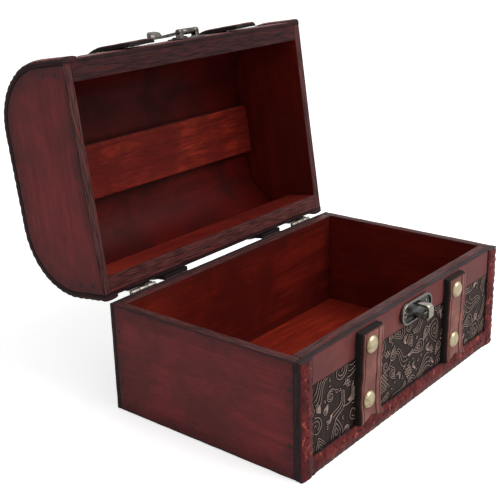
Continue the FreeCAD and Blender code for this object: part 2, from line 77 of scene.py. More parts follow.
def node(tree, kind, inputs=None, **settings):
    """A node with its settings, and its inputs set from values or other nodes."""
    made = tree.nodes.new("ShaderNode" + kind)
    for name, value in settings.items():
        setattr(made, name, value)
    for name, value in (inputs or {}).items():
        socket = made.inputs[name]
        if isinstance(value, bpy.types.NodeSocket):
            tree.links.new(value, socket)
        else:
            socket.default_value = value
    return made


def mixed(tree, factor, first, second, blend="MIX"):
    """One colour over another."""
    made = node(tree, "Mix", {0: factor, 6: first, 7: second}, data_type="RGBA", blend_type=blend)
    return made.outputs[2]


def sums(tree, operation, first, second):
    return node(tree, "Math", {0: first, 1: second}, operation=operation).outputs[0]


def eased(tree, value, low, high, start=0.0, end=1.0):
    """A value turned into a soft step between two limits."""
    return node(tree, "MapRange", {"Value": value, "From Min": low, "From Max": high, "To Min": start,
                                   "To Max": end}, interpolation_type="SMOOTHSTEP").outputs[0]


def speckle(tree, vector, scale, detail=3.0, rough=0.55, warp=0.0):
    return node(tree, "TexNoise", {"Vector": vector, "Scale": scale, "Detail": detail,
                                   "Roughness": rough, "Distortion": warp}).outputs["Fac"]


def mark(tree, name):
    """A value stored on the mesh, such as wear or painted shade."""
    return node(tree, "Attribute", attribute_name=name).outputs["Fac"]


def laid_at(tree):
    """Where a point lay on its piece before the piece was set in place."""
    return node(tree, "Attribute", attribute_name="laid").outputs["Vector"]


def effect(name, inputs, outputs):
    """An empty shared effect with its named sockets."""
    tree = bpy.data.node_groups.new(name, "ShaderNodeTree")
    for direction, sockets in (("INPUT", inputs), ("OUTPUT", outputs)):
        for label, kind in sockets:
            tree.interface.new_socket(label, in_out=direction, socket_type="NodeSocket" + kind)
    return tree, tree.nodes.new("NodeGroupInput").outputs, tree.nodes.new("NodeGroupOutput").inputs


def use_group(tree, group, inputs):
    """A shared effect placed in a finish with its own values."""
    return node(tree, "Group", inputs, node_tree=group).outputs


# wood figure: long streaks with a slow blotch, and fine pores
wood_figure, given, result = effect(
    "wood_figure", [("Vector", "Vector"), ("Stretch", "Vector")],
    [("Streak", "Float"), ("Blotch", "Float"), ("Pore", "Float")])
drawn = node(wood_figure, "VectorMath", {0: given["Vector"], 1: given["Stretch"]},
             operation="MULTIPLY").outputs[0]
wood_figure.links.new(speckle(wood_figure, drawn, 1.0, 6.0, 0.62, 0.7), result["Streak"])
wood_figure.links.new(speckle(wood_figure, given["Vector"], 26.0, 3.0, 0.6, 0.4), result["Blotch"])
wood_figure.links.new(speckle(wood_figure, drawn, 7.0, 3.0, 0.6), result["Pore"])

# edge mask: how far from the nearest edge a finish is worn back, and in some finishes darkened by painted
# shade, in broken patches
edge_wear_and_shade, given, result = effect(
    "edge_wear_and_shade", [("Vector", "Vector"), ("Reach", "Float"), ("Break", "Float")], [("Mask", "Float")])
patchy = speckle(edge_wear_and_shade, given["Vector"], 160.0, 4.0, 0.65)
ragged = sums(edge_wear_and_shade, "MULTIPLY", sums(edge_wear_and_shade, "SUBTRACT", patchy, 0.5), given["Break"])
wear_and_shade_reach = sums(edge_wear_and_shade, "ADD", mark(edge_wear_and_shade, "edge_mm"), ragged)
rubbed = node(edge_wear_and_shade, "MapRange", {"Value": wear_and_shade_reach, "From Min": given["Reach"], "From Max": 0.0},
              interpolation_type="SMOOTHSTEP").outputs[0]
edge_wear_and_shade.links.new(rubbed, result["Mask"])

# ply edge: the layers of the plywood where it is cut, torn and bleached in places
ply_edge, given, result = effect(
    "ply_edge", [("Vector", "Vector"), ("Layers", "Float")],
    [("Mask", "Float"), ("Layer", "Float"), ("Streak", "Float")])
depth = sums(ply_edge, "MULTIPLY", mark(ply_edge, "depth_mm"), given["Layers"])
for label, scale, detail in (("Layer", 80.0, 6.0), ("Streak", 46.0, 4.0)):
    layer = node(ply_edge, "TexNoise",
                 {"Vector": given["Vector"], "W": depth, "Scale": scale, "Detail": detail, "Roughness": 0.66},
                 noise_dimensions="4D").outputs["Fac"]
    ply_edge.links.new(eased(ply_edge, layer, 0.3, 0.72) if label == "Layer" else layer, result[label])
ply_edge.links.new(eased(ply_edge, mark(ply_edge, "thin"), 0.35, 0.75), result["Mask"])


def new_finish(name, roughness=0.5, metallic=0.0, sheen=0.06):
    """A bare finish, its nodes and its shader; sheen is how much a surface that isn't metal reflects."""
    finish = bpy.data.materials.new(name)
    finish.use_nodes = True
    shader = finish.node_tree.nodes["Principled BSDF"]
    shader.inputs["Roughness"].default_value = roughness
    shader.inputs["Metallic"].default_value = metallic
    shader.inputs["Specular IOR Level"].default_value = 0.5 if metallic else sheen
    return finish, finish.node_tree, shader


def dress(tree, shader, colour, roughness=None, relief=None, strength=0.3, depth=0.0003):
    """Join a finish's colour, roughness and fine relief to its shader."""
    tree.links.new(colour, shader.inputs["Base Color"])
    if roughness is not None:
        tree.links.new(roughness, shader.inputs["Roughness"])
    if relief is not None:
        bump = node(tree, "Bump", {"Strength": strength, "Distance": depth, "Height": relief})
        tree.links.new(bump.outputs[0], shader.inputs["Normal"])


def stained_ply(name, dark, light, cast, rub, along, reach=2.0, pores=0.28, edge_shade_amount=0.0, painted_left_light=0.0,
                plies=((28, 16, 18), (98, 62, 60), (120, 32, 34))):
    """Stained plywood: faint streaks, slow changes of cast, rubbed edges, and plies on the cut edges.

    The two amounts after pores set painted light: how dark the margins and corners are painted, as shade, and
    how much paler and more orange the left end is painted, as light falling from the left.
    """
    dark, light, cast, rub = (dye(*tone) for tone in (dark, light, cast, rub))
    finish, tree, shader = new_finish(name)
    spot = laid_at(tree)
    stretch = {"x": (14.0, 170.0, 170.0), "y": (170.0, 14.0, 170.0)}[along]
    figure = use_group(tree, wood_figure, {"Vector": spot, "Stretch": stretch})
    tone = mixed(tree, eased(tree, figure["Streak"], 0.28, 0.72), dark, light)
    tone = mixed(tree, eased(tree, figure["Blotch"], 0.36, 0.66, 0.0, 0.85), tone, cast)
    # Painted light: the left end is painted paler and more orange, as if lit from the left.
    sideways = node(tree, "SeparateXYZ", {0: spot}).outputs["X"]
    leftward = eased(tree, sideways, -0.045, -0.1, 0.0, painted_left_light)
    left_light_mask = sums(tree, "MULTIPLY", leftward, eased(tree, figure["Blotch"], 0.3, 0.6, 0.35, 1.0))
    tone = mixed(tree, left_light_mask, tone, dye(150, 50, 34))
    fine = eased(tree, figure["Pore"], 0.3, 0.7, 0.0, pores)
    tone = mixed(tree, fine, tone, rub)
    # Painted shade: the margins and corners are darkened toward the rub colour.
    edge_shade_mask = use_group(tree, edge_wear_and_shade, {"Vector": spot, "Reach": 13.0, "Break": 18.0})["Mask"]
    tone = mixed(tree, sums(tree, "MULTIPLY", edge_shade_mask, edge_shade_amount), tone, rub)
    worn = use_group(tree, edge_wear_and_shade, {"Vector": spot, "Reach": reach, "Break": 2.6})["Mask"]
    tone = mixed(tree, sums(tree, "MULTIPLY", worn, 0.9), tone, rub)
    ply = use_group(tree, ply_edge, {"Vector": spot, "Layers": 0.017})
    layers = mixed(tree, ply["Layer"], dye(*plies[0]), dye(*plies[1]))
    layers = mixed(tree, eased(tree, ply["Streak"], 0.56, 0.66, 0.0, 0.7), layers, dye(*plies[2]))
    tone = mixed(tree, ply["Mask"], tone, layers)
    dress(tree, shader, tone, eased(tree, figure["Blotch"], 0.2, 0.8, 0.34, 0.54), figure["Pore"], 0.35)
    return finish


def fix_piece(name, mesh, laid, finish, body, replaced, crease):
    """Keep where each point was laid, dress the mesh, and fix the piece to its body."""
    where = mesh.attributes.new("laid", "FLOAT_VECTOR", "POINT")
    where.data.foreach_set("vector", np.asarray(laid, np.float32).ravel())
    mesh.shade_smooth()
    mesh.set_sharp_from_angle(angle=math.radians(crease))
    mesh.materials.append(finish)
    piece = bpy.data.objects.new(name, mesh)
    bpy.context.collection.objects.link(piece)
    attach(piece, body)
    if replaced:
        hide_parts(*replaced)
    return piece


def make_piece(name, verts, faces, finish, body, replaced, place=None, marks=None, crease=40):
    """A mesh in millimetres, dressed, set in place and fixed to its body."""
    laid = np.asarray(verts, float) * MM
    spots = laid if place is None else laid @ np.array(place.to_3x3()).T + np.array(place.translation)
    mesh = bpy.data.meshes.new(name)
    mesh.from_pydata(spots.tolist(), [], faces)
    mesh.validate()
    work = bmesh.new()
    work.from_mesh(mesh)
    bmesh.ops.recalc_face_normals(work, faces=work.faces)
    work.to_mesh(mesh)
    work.free()
    for label, values in (marks or {}).items():
        wear = mesh.attributes.new(label, "FLOAT", "POINT")
        wear.data.foreach_set("value", np.asarray(values, np.float32))
    return fix_piece(name, mesh, laid, finish, body, replaced, crease)


board_cell = 3.0


def rounded_board(low, high, radius, through):
    """A board covered in a grid, with uneven rounded edges; through is the axis of its thickness."""
    low, high = np.array(low, float), np.array(high, float)
    lines = []
    for a, b in zip(low, high):
        r = min(radius, (b - a) * 0.45)
        inner = np.linspace(a + r, b - r, max(1, round((b - a - 2 * r) / board_cell)) + 1)
        lines.append(np.concatenate(([a, a + 0.45 * r], inner, [b - 0.45 * r, b])))
    index, spots, faces = {}, [], []

    def corner(key):
        if key not in index:
            index[key] = len(spots)
            spots.append([lines[axis][k] for axis, k in enumerate(key)])
        return index[key]

    last = [len(line) - 1 for line in lines]
    for axis in range(3):
        u, v = (axis + 1) % 3, (axis + 2) % 3
        for end in (0, last[axis]):
            for i in range(last[u]):
                for j in range(last[v]):
                    ring = []
                    for di, dj in ((0, 0), (1, 0), (1, 1), (0, 1)):
                        key = [0, 0, 0]
                        key[axis], key[u], key[v] = end, i + di, j + dj
                        ring.append(corner(tuple(key)))
                    faces.append(ring if end else ring[::-1])
    spots = np.array(spots)
    gaps = np.sort(np.minimum(spots - low, high - spots), axis=1)
    uneven = np.array([0.75 + 0.5 * noise.noise(Vector(p) * 0.12) for p in spots])
    limit = np.minimum(radius * uneven, (high - low).min() * 0.45)[:, None]
    core = np.clip(spots, low + limit, high - limit)
    out = spots - core
    length = np.linalg.norm(out, axis=1, keepdims=True)
    normal = out / np.maximum(length, 1e-9)
    verts = core + normal * np.minimum(length, limit)
    marks = {"edge_mm": gaps[:, 1], "thin": 1 - np.abs(normal[:, through]),
             "depth_mm": (spots - low)[:, through]}
    return verts, faces, marks


def paint_side(piece, finish, axis, sign):
    """Give the faces that look one way a second finish."""
    piece.data.materials.append(finish)
    for face in piece.data.polygons:
        if face.normal[axis] * sign > 0.8:
            face.material_index = 1


panel_stain = stained_ply("panel_stain", (101, 40, 42), (124, 50, 52), (92, 45, 46), (48, 34, 35), "y",
                          edge_shade_amount=0.5)
inner_stain = stained_ply("inner_stain", (76, 16, 12), (114, 29, 19), (72, 16, 12), (52, 18, 16), "x", 1.4,
                          edge_shade_amount=0.4, painted_left_light=0.6)
inner_end_stain = stained_ply("inner_end_stain", (94, 22, 16), (116, 30, 21), (84, 20, 15), (56, 24, 22), "y",
                              1.4)
floor_stain = stained_ply("floor_stain", (90, 21, 13), (147, 44, 27), (112, 28, 17), (78, 20, 14), "x", 1.2,
                          pores=0.5)
cover_stain = stained_ply("cover_stain", (66, 30, 31), (88, 40, 40), (60, 38, 38), (40, 33, 35), "x",
                          plies=((26, 20, 22), (58, 46, 48), (70, 40, 42)))


def box_mm(cad_node):
    """A CAD piece's lowest and highest corners, in millimetres."""
    return [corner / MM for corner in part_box(cad_node)]


def base_board(name, cad_node, through, finish, radius=0.9):
    """One board of the base, in the place of its CAD piece."""
    verts, faces, marks = rounded_board(*box_mm(cad_node), radius, through)
    return make_piece(name, verts, faces, finish, "base", [cad_node], marks=marks)


for side, facing in (("left", -1), ("right", 1)):
    panel = base_board(f"{side}_end_panel", f"base_{side}_end", 0, panel_stain)
    paint_side(panel, inner_end_stain, 0, -facing)
base_board("front_panel", "base_front_panel", 1, inner_stain, radius=0.6)
base_board("back_panel", "base_back_panel", 1, inner_stain, radius=0.6)
base_board("front_cover_board", "base_front_board", 1, cover_stain, radius=0.5)
base_board("back_cover_board", "base_back_board", 1, cover_stain, radius=0.7)
base_board("floor_board", "base_floor", 2, floor_stain, radius=0.3)


# Base front trims: three strips of solid wood glued round the front, planed to a low
# crown and hammered along both edges. Orange highlights are painted on in spots, shade is
# painted into the dents, and one half of the crown is painted greyer as shade.
def trim_finish():
    finish, tree, shader = new_finish("hammered_trim")
    spot = laid_at(tree)
    figure = use_group(tree, wood_figure, {"Vector": spot, "Stretch": (70.0, 70.0, 70.0)})
    tone = mixed(tree, eased(tree, figure["Streak"], 0.3, 0.7), dye(66, 20, 22), dye(116, 42, 41))
    tone = mixed(tree, eased(tree, mark(tree, "shade"), 0.0, 1.0, 0.0, 0.8), tone, dye(70, 40, 40))
    patch = speckle(tree, spot, 230.0, 2.0, 0.5, 0.6)
    # Painted highlights: orange spots for light caught on the hammered wood.
    tone = mixed(tree, eased(tree, patch, 0.57, 0.7, 0.0, 0.62), tone, dye(170, 82, 68))
    tone = mixed(tree, eased(tree, patch, 0.42, 0.3, 0.0, 0.75), tone, dye(50, 20, 22))
    # Painted shade in the dents.
    tone = mixed(tree, eased(tree, mark(tree, "dent"), 0.25, 0.85, 0.0, 0.85), tone, dye(34, 14, 16))
    worn = use_group(tree, edge_wear_and_shade, {"Vector": spot, "Reach": 1.0, "Break": 1.3})["Mask"]
    tone = mixed(tree, sums(tree, "MULTIPLY", worn, 0.85), tone, dye(44, 34, 36))
    dress(tree, shader, tone, eased(tree, figure["Blotch"], 0.2, 0.8, 0.3, 0.48), figure["Pore"], 0.4, 0.0004)
    return finish


hammered_trim = trim_finish()
thinnest, joint_height, unworn = 0.25, 0.8, 9.0


def slab(outer, inner):
    """A closed sheet between two matching grids of points; returns its points and faces."""
    rows, columns = outer.shape[:2]
    verts = np.concatenate((outer.reshape(-1, 3), inner.reshape(-1, 3)))
    top = np.arange(rows * columns).reshape(rows, columns)
    low = top + rows * columns
    faces = []
    for grid, turn in ((top, 1), (low, -1)):
        quads = np.stack((grid[:-1, :-1], grid[:-1, 1:], grid[1:, 1:], grid[1:, :-1]), -1).reshape(-1, 4)
        faces += quads[:, ::turn].tolist()
    rim_top = np.concatenate((top[0, :], top[1:, -1], top[-1, -2::-1], top[-2:0:-1, 0]))
    rim_low = rim_top + rows * columns
    ahead_top, ahead_low = np.roll(rim_top, -1), np.roll(rim_low, -1)
    faces += np.stack((rim_top, rim_low, ahead_low, ahead_top), -1).tolist()
    return verts, faces


def both_faces(**grids):
    """The wear and painted-shade values of a slab, the same on its two faces."""
    return {label: np.tile(grid.ravel(), 2) for label, grid in grids.items()}


def run_of(points):
    """How far along a line of points each one lies."""
    return np.concatenate(([0], np.cumsum(np.linalg.norm(np.diff(points, axis=0), axis=1))))


def hammered_strip(name, spine, across, normals, width, thick, body, cad_node, seed, place=None,
                   meets=None, bite=0.8):
    """A crowned strip, hammered along its edges, on a spine of points of the surface it is glued to.

    It is left plain where meets says that it joins another strip. Bite is the depth of dents at its far edge.
    """
    pick = random.Random(seed)
    spine, normals = np.array(spine, float), np.array(normals, float)
    run = run_of(spine)
    share = np.concatenate(([0, 0.02, 0.05], np.linspace(0.09, 0.91, 23), [0.95, 0.98, 1]))
    crown = 0.66 + 0.34 * (1 - np.abs(2 * share - 1) ** 2.2)
    crown[[0, -1]] -= 0.14
    height = np.tile(crown * thick, (len(run), 1))
    dent = np.zeros_like(height)
    # a lane of dents: its place across the strip, their reach and depth, and how dark their painted shade is
    lanes = ((0.40, 1.25, 0.55, 1.0), (0.95, 2.0, bite, 0.35), (0.05, 1.9, 0.5, 0.4))
    for lane, reach, deep, dark in lanes:
        at = pick.uniform(0, 4)
        while at < run[-1]:
            middle = (lane + pick.uniform(-0.06, 0.06)) * width
            size = reach * pick.uniform(0.75, 1.25)
            far = np.hypot((run[:, None] - at) / 1.2, share * width - middle) / size
            bowl = np.where(far < 1, (1 - far ** 2) ** 2, 0.0)
            height -= bowl * deep * pick.uniform(0.6, 1.1)
            dent = np.maximum(dent, bowl * dark * pick.uniform(0.5, 1.0))
            at += pick.uniform(4.0, 6.2)
    shade = np.tile(np.clip((share - 0.45) / 0.4, 0, 1), (len(run), 1))
    height = np.clip(height, thinnest, thick)
    met = meets(run[:, None], (share * width)[None, :]) if meets else 0.0
    height, dent = height + met * (joint_height * thick - height), dent * (1 - met)
    flat = spine[:, None, :] + np.array(across, float) * (share * width)[None, :, None]
    outer = flat + normals[:, None, :] * height[..., None]
    verts, faces = slab(outer, flat)
    ends = np.minimum(run, run[-1] - run)[:, None]
    sides = np.minimum(share, 1 - share)[None, :] * width
    edge = np.minimum(ends, sides) + unworn * met
    make_piece(name, verts, faces, hammered_trim, body, [cad_node], place=place,
               marks=both_faces(dent=dent, shade=shade, edge_mm=edge))


trim_step = 0.6
joint_reach, joint_fade, joint_over, joint_taper = 3.0, 2.4, 1.0, 1.5
bottom_low, bottom_high = box_mm("base_bottom_trim")


def in_joint(gap):
    """How fully a point belongs to the joint of two trims, for its gap from the line where they meet."""
    return np.clip((joint_reach - gap) / joint_fade, 0, 1)


def by_bottom_trim(up, from_inner_edge):
    """The joint of a side trim, along the stretch of its inner edge that the bottom trim meets."""
    beside = np.clip((bottom_high.z + joint_over - up) / joint_taper, 0, 1)
    return beside * in_joint(np.abs(from_inner_edge))


for side, seed in (("left", 3), ("right", 4)):
    low, high = box_mm(f"base_{side}_trim")
    inner_edge = high.x - low.x if side == "left" else 0.0
    levels = np.arange(low.z, high.z + 0.01, (high.z - low.z) / round((high.z - low.z) / trim_step))
    spine = [(low.x, high.y, z) for z in levels]
    hammered_strip(f"{side}_front_trim", spine, (1, 0, 0), [(0, -1, 0)] * len(spine), high.x - low.x,
                   high.y - low.y, "base", f"base_{side}_trim", seed,
                   meets=lambda up, over: by_bottom_trim(up, over - inner_edge))
low, high = bottom_low, bottom_high
spine = [(x, high.y, high.z) for x in np.linspace(low.x, high.x, round((high.x - low.x) / trim_step) + 1)]
hammered_strip("bottom_front_trim", spine, (0, 0, -1), [(0, -1, 0)] * len(spine), high.z - low.z,
               high.y - low.y, "base", "base_bottom_trim", 5, bite=0.25,
               meets=lambda along, over: in_joint(np.minimum(along, high.x - low.x - along)))


# Base leather band: smooth brown leather glued along the top of the front, its upper
# edge level with the rim. The grain is fine and the finish a soft satin.
def leather_finish(name, dark, light, cut, gloss=0.45):
    finish, tree, shader = new_finish(name, gloss, sheen=0.08)
    spot = laid_at(tree)
    pebble = node(tree, "TexVoronoi", {"Vector": spot, "Scale": 1300.0},
                  feature="DISTANCE_TO_EDGE").outputs["Distance"]
    cloud = speckle(tree, spot, 60.0, 4.0, 0.6, 0.3)
    tone = mixed(tree, eased(tree, cloud, 0.3, 0.72), dark, light)
    worn = use_group(tree, edge_wear_and_shade, {"Vector": spot, "Reach": 0.9, "Break": 1.0})["Mask"]
    tone = mixed(tree, sums(tree, "MULTIPLY", worn, 0.8), tone, cut)
    # Painted shade: the seam grooves and the fold line are darkened.
    seam = eased(tree, mark(tree, "seam"), 0.15, 0.85)
    tone = mixed(tree, sums(tree, "MULTIPLY", seam, 0.85), tone, dye(34, 19, 19))
    grain = sums(tree, "MULTIPLY", eased(tree, pebble, 0.0, 0.25), 0.6)
    grain = sums(tree, "ADD", grain, speckle(tree, spot, 420.0, 3.0))
    dress(tree, shader, tone, eased(tree, cloud, 0.2, 0.8, gloss - 0.08, gloss + 0.1), grain, 0.3, 0.0002)
    return finish


band_leather = leather_finish("band_leather", dye(94, 50, 49), dye(112, 62, 59), dye(54, 30, 29))


def graded(length, cell):
    """Stops along a length, closer together near its two ends."""
    near = np.array((0, 0.25, 0.6))
    return np.concatenate((near, np.linspace(1, length - 1, round(length / cell)), length - near[::-1]))


def leather_sheet(name, origin, along, across, normal, length, width, thick, finish, body, cad_node,
                  place=None):
    """A flat strip of leather with soft edges and a slightly uneven face."""
    origin, along, across, normal = (np.array(v, float) for v in (origin, along, across, normal))
    run, rise = graded(length, 2.2), graded(width, 1.2)
    edge = np.minimum(np.minimum(run, length - run)[:, None], np.minimum(rise, width - rise)[None, :])
    lift = thick * (0.55 + 0.45 * np.clip(edge / 0.6, 0, 1) ** 0.5)
    flat = origin + along * run[:, None, None] + across * rise[None, :, None]
    wave = np.array([[noise.noise(Vector(p) * 0.09) for p in line] for line in flat])
    outer = flat + normal * (lift + 0.12 * wave - 0.08)[..., None]
    verts, faces = slab(outer, flat)
    make_piece(name, verts, faces, finish, body, [cad_node], place=place,
               marks=both_faces(edge_mm=edge))


low, high = box_mm("base_leather_band")
leather_sheet("front_leather_band", (low.x, high.y, low.z), (1, 0, 0), (0, 0, 1), (0, -1, 0), high.x - low.x,
              high.z - low.z, high.y - low.y, band_leather, "base", "base_leather_band")


# Base embossed leather: dark leather pressed with scrolls, teardrops, waves and scales, glued
# between the band and the trims. The raised lines are rubbed pale; a black shadow is painted
# beside them and along the trims.
def embossed_finish():
    finish, tree, shader = new_finish("embossed_hide")
    spot = laid_at(tree)
    away = mark(tree, "line_mm")
    cloud = speckle(tree, spot, 45.0, 4.0, 0.6, 0.2)
    ribs = node(tree, "VectorMath", {0: spot, 1: (900.0, 90.0, 90.0)}, operation="MULTIPLY").outputs[0]
    fine = speckle(tree, ribs, 1.0, 3.0)
    tone = mixed(tree, eased(tree, fine, 0.3, 0.7), dye(30, 22, 20), dye(54, 41, 37))
    # Painted shadow: a black band beside each raised line, where the relief would shade the ground.
    line_shadow_mask = sums(tree, "MULTIPLY", eased(tree, away, 1.0, 0.34), 0.8)
    tone = mixed(tree, line_shadow_mask, tone, dye(12, 9, 9))
    rubbed = sums(tree, "MULTIPLY", eased(tree, away, 0.27, 0.08), eased(tree, cloud, 0.2, 0.55, 0.45, 1.0))
    tone = mixed(tree, rubbed, tone, dye(170, 145, 134))
    # Painted shadow: a black band along the trims, where the proud trim would shade the leather.
    trim_shadow_mask = use_group(tree, edge_wear_and_shade, {"Vector": spot, "Reach": 3.4, "Break": 1.4})["Mask"]
    tone = mixed(tree, sums(tree, "MULTIPLY", trim_shadow_mask, 0.9), tone, dye(12, 9, 9))
    dress(tree, shader, tone, eased(tree, fine, 0.2, 0.8, 0.34, 0.52), fine, 0.35)
    return finish


embossed_hide = embossed_finish()
hide_ground, hide_relief, hide_cell = 0.45, 0.4, 0.3


def strand(x, y):
    """A drawn line from its two coordinates."""
    return np.stack(np.broadcast_arrays(x, y), -1)


def volute(size, turns, hand):
    """A scroll with an echo line inside its outer turn and a tail."""
    t = np.linspace(0, 1, 40)
    lines = []
    for start, part in ((0.92, t), (0.68, t[:22])):
        angle = hand * turns * 2 * math.pi * part
        radius = size * (start - 0.80 * part)
        lines.append(strand(radius * np.cos(angle), radius * np.sin(angle)))
    sweep = np.linspace(0, 1.3, 12)
    lines.append(strand(size * (1.35 - 0.43 * np.cos(sweep)), -hand * size * 0.95 * np.sin(sweep)))
    return lines


def paisley(size, hand):
    """Bent teardrops, one inside another."""
    t = np.linspace(0, 2 * math.pi, 34)
    lines = []
    for scale in (0.95, 0.6, 0.25):
        x = scale * np.cos(t)
        y = 0.95 * scale * np.sin(t) * np.abs(np.sin(t / 2)) ** 1.3
        lines.append(strand(size * x, hand * size * (y + 0.32 * ((x + 1) / 2) ** 2)))
    return lines


def wave(size, strands, phase):
    """Locks of wavy lines that spread from one end."""
    t = np.linspace(0, 1, 24)
    ripple, spread = 0.3 * np.sin(5.0 * t + phase), 0.14 + 0.26 * t
    return [strand(size * (1.9 * t - 0.95), size * (ripple + (k - strands / 2 + 0.5) * spread))
            for k in range(strands)]


def scales(size, pitch):
    """A patch of overlapping arcs."""
    turn = np.linspace(0, math.pi, 7)
    lines = []
    for row in range(-4, 5):
        for column in range(-4, 5):
            x, y = (column + 0.5 * (row % 2)) * pitch, row * pitch * 0.62
            if math.hypot(x, y) < size * 0.85:
                lines.append(strand(x + 0.5 * pitch * np.cos(turn), y + 0.5 * pitch * np.sin(turn)))
    return lines


def motif(pick, size):
    """One pressed figure, as lines within a circle of that size."""
    hand = pick.choice((-1, 1))
    if size < 2.5:
        t = np.linspace(0, pick.uniform(2.0, 5.0), 10)
        return [strand(size * (0.7 - 0.09 * t) * np.cos(t), hand * size * (0.7 - 0.09 * t) * np.sin(t))]
    kind = pick.choice(("paisley", "paisley", "wave", "wave", "volute", "volute", "scales"))
    if kind == "paisley":
        return paisley(size, hand)
    if kind == "wave":
        return wave(size, pick.choice((3, 4)), pick.uniform(0, 6))
    if kind == "scales":
        return scales(size, 2.2)
    return volute(size, pick.uniform(1.2, 1.7), hand)


def scroll_field(width, height, cell, seed):
    """Distance in millimetres from each point of a sheet to the nearest pressed line."""
    pick = random.Random(seed)
    across = np.linspace(0, width, round(width / cell) + 1)
    up = np.linspace(0, height, round(height / cell) + 1)
    placed, lines = [], []
    for size, tries in ((8.5, 160), (6.5, 340), (4.6, 900), (3.0, 1900), (1.6, 2200)):
        for _ in range(round(tries * width * height / 8000)):
            x, y = pick.uniform(0, width), pick.uniform(0, height)
            if all((x - a) ** 2 + (y - b) ** 2 > (0.88 * (size + r)) ** 2 for a, b, r in placed):
                placed.append((x, y, size))
                turn = pick.uniform(0, 2 * math.pi)
                spin = np.array(((math.cos(turn), math.sin(turn)), (-math.sin(turn), math.cos(turn))))
                lines += [line @ spin + (x, y) for line in motif(pick, size)]
    reach = 2.4
    field = np.full((len(up), len(across)), reach)
    for line in lines:
        for a, b in zip(line[:-1], line[1:]):
            lo, hi = np.minimum(a, b) - reach, np.maximum(a, b) + reach
            i0, i1 = np.searchsorted(across, (lo[0], hi[0]))
            j0, j1 = np.searchsorted(up, (lo[1], hi[1]))
            if i0 == i1 or j0 == j1:
                continue
            px, py = np.meshgrid(across[i0:i1], up[j0:j1])
            step = b - a
            t = np.clip(((px - a[0]) * step[0] + (py - a[1]) * step[1]) / max(step @ step, 1e-9), 0, 1)
            far = np.hypot(px - a[0] - t * step[0], py - a[1] - t * step[1])
            field[j0:j1, i0:i1] = np.minimum(field[j0:j1, i0:i1], far)
    return across, up, field


def pressed(field):
    """Height of the leather over its ground for a distance from the line."""
    ridge = np.clip((0.5 - field) / 0.36, 0, 1)
    return hide_relief * ridge * ridge * (3 - 2 * ridge)


low, high = box_mm("base_embossed_leather")
across, up, field = scroll_field(high.x - low.x, high.z - low.z, hide_cell, 11)
flat = np.stack(np.broadcast_arrays(low.x + across[None, :], high.y, low.z + up[:, None]), -1)
raised = flat.copy()
raised[..., 1] = high.y - hide_ground - pressed(field)


def backed_sheet(raised, flat):
    """A finely drawn face, closed by plain sides and a plain back."""
    rows, columns = raised.shape[:2]
    verts = np.concatenate((raised.reshape(-1, 3), flat[:, 0], flat[:, -1]))
    top = np.arange(rows * columns).reshape(rows, columns)
    left = rows * columns + np.arange(rows)
    right = left + rows
    strips = ((top[:, :-1], top[:, 1:]), (left[:, None], top[:, :1]),
              (top[:, -1:], right[:, None]), (right[:, None], left[:, None]))
    quads = [np.stack((a[:-1], b[:-1], b[1:], a[1:]), -1).reshape(-1, 4) for a, b in strips]
    faces = np.concatenate(quads).tolist()
    faces.append([left[0], right[0], *top[0, ::-1]])
    faces.append([right[-1], left[-1], *top[-1]])
    return verts, faces


def hide_marks(line_mm, edge_mm):
    """The wear and painted-shadow values of a backed sheet: those of its face, and none on its back."""
    plain = np.full(2 * len(line_mm), unworn)
    return {label: np.concatenate((grid.ravel(), plain))
            for label, grid in (("line_mm", line_mm), ("edge_mm", edge_mm))}


verts, faces = backed_sheet(raised, flat)
to_trim = np.minimum(np.minimum(across, across[-1] - across)[None, :], up[:, None])
make_piece("front_embossed_leather", verts, faces, embossed_hide, "base",
           ["base_embossed_leather"], marks=hide_marks(field, to_trim))


# Base straps: a thick black core under a stitched brown leather face, cut to a swallow
# tail at the foot and riveted twice. The left one has lifted a little at the top.
core_black, tree, shader = new_finish("core_black", 0.7)
fibre = speckle(tree, laid_at(tree), 520.0, 4.0, 0.7)
dress(tree, shader, mixed(tree, fibre, dye(14, 12, 13), dye(46, 40, 40)), None, fibre, 0.5, 0.0004)

strap_leather = leather_finish("strap_leather", dye(106, 63, 58), dye(142, 92, 84), dye(24, 16, 16), 0.42)

thread, tree, shader = new_finish("waxed_thread", 0.6)
twist = speckle(tree, laid_at(tree), 1500.0, 2.0)
dress(tree, shader, mixed(tree, twist, dye(48, 26, 26), dye(92, 58, 54)))

strap_seams, strap_fold = (-0.78, 0.42), 0.8
stitch_length, stitch_radius, stitch_pitch, stitch_proud = 2.1, 0.3, 3.0, 0.08


def strap_profile(share):
    """Height of the leather face across the strap, and how deep in a seam each point is."""
    rounding = np.clip((1 - np.abs(share)) / 0.07, 0, 1) ** 0.5
    seam = sum(np.exp(-((share - at) / 0.035) ** 2) for at in (*strap_seams, strap_fold))
    hem = 0.28 * np.clip((share - strap_seams[1]) / 0.05, 0, 1)
    return 0.35 + 0.75 * rounding + 0.22 * (1 - share ** 2) - 0.42 * seam + hem, seam


def joined_rings(start, rings, around):
    """Faces between rings of points that follow one another, from a first point on."""
    here = start + around * np.arange(rings - 1)[:, None] + np.arange(around)
    ahead = np.roll(here, -1, axis=1)
    return np.stack((here, ahead, ahead + around, here + around), -1).reshape(-1, 4).tolist()


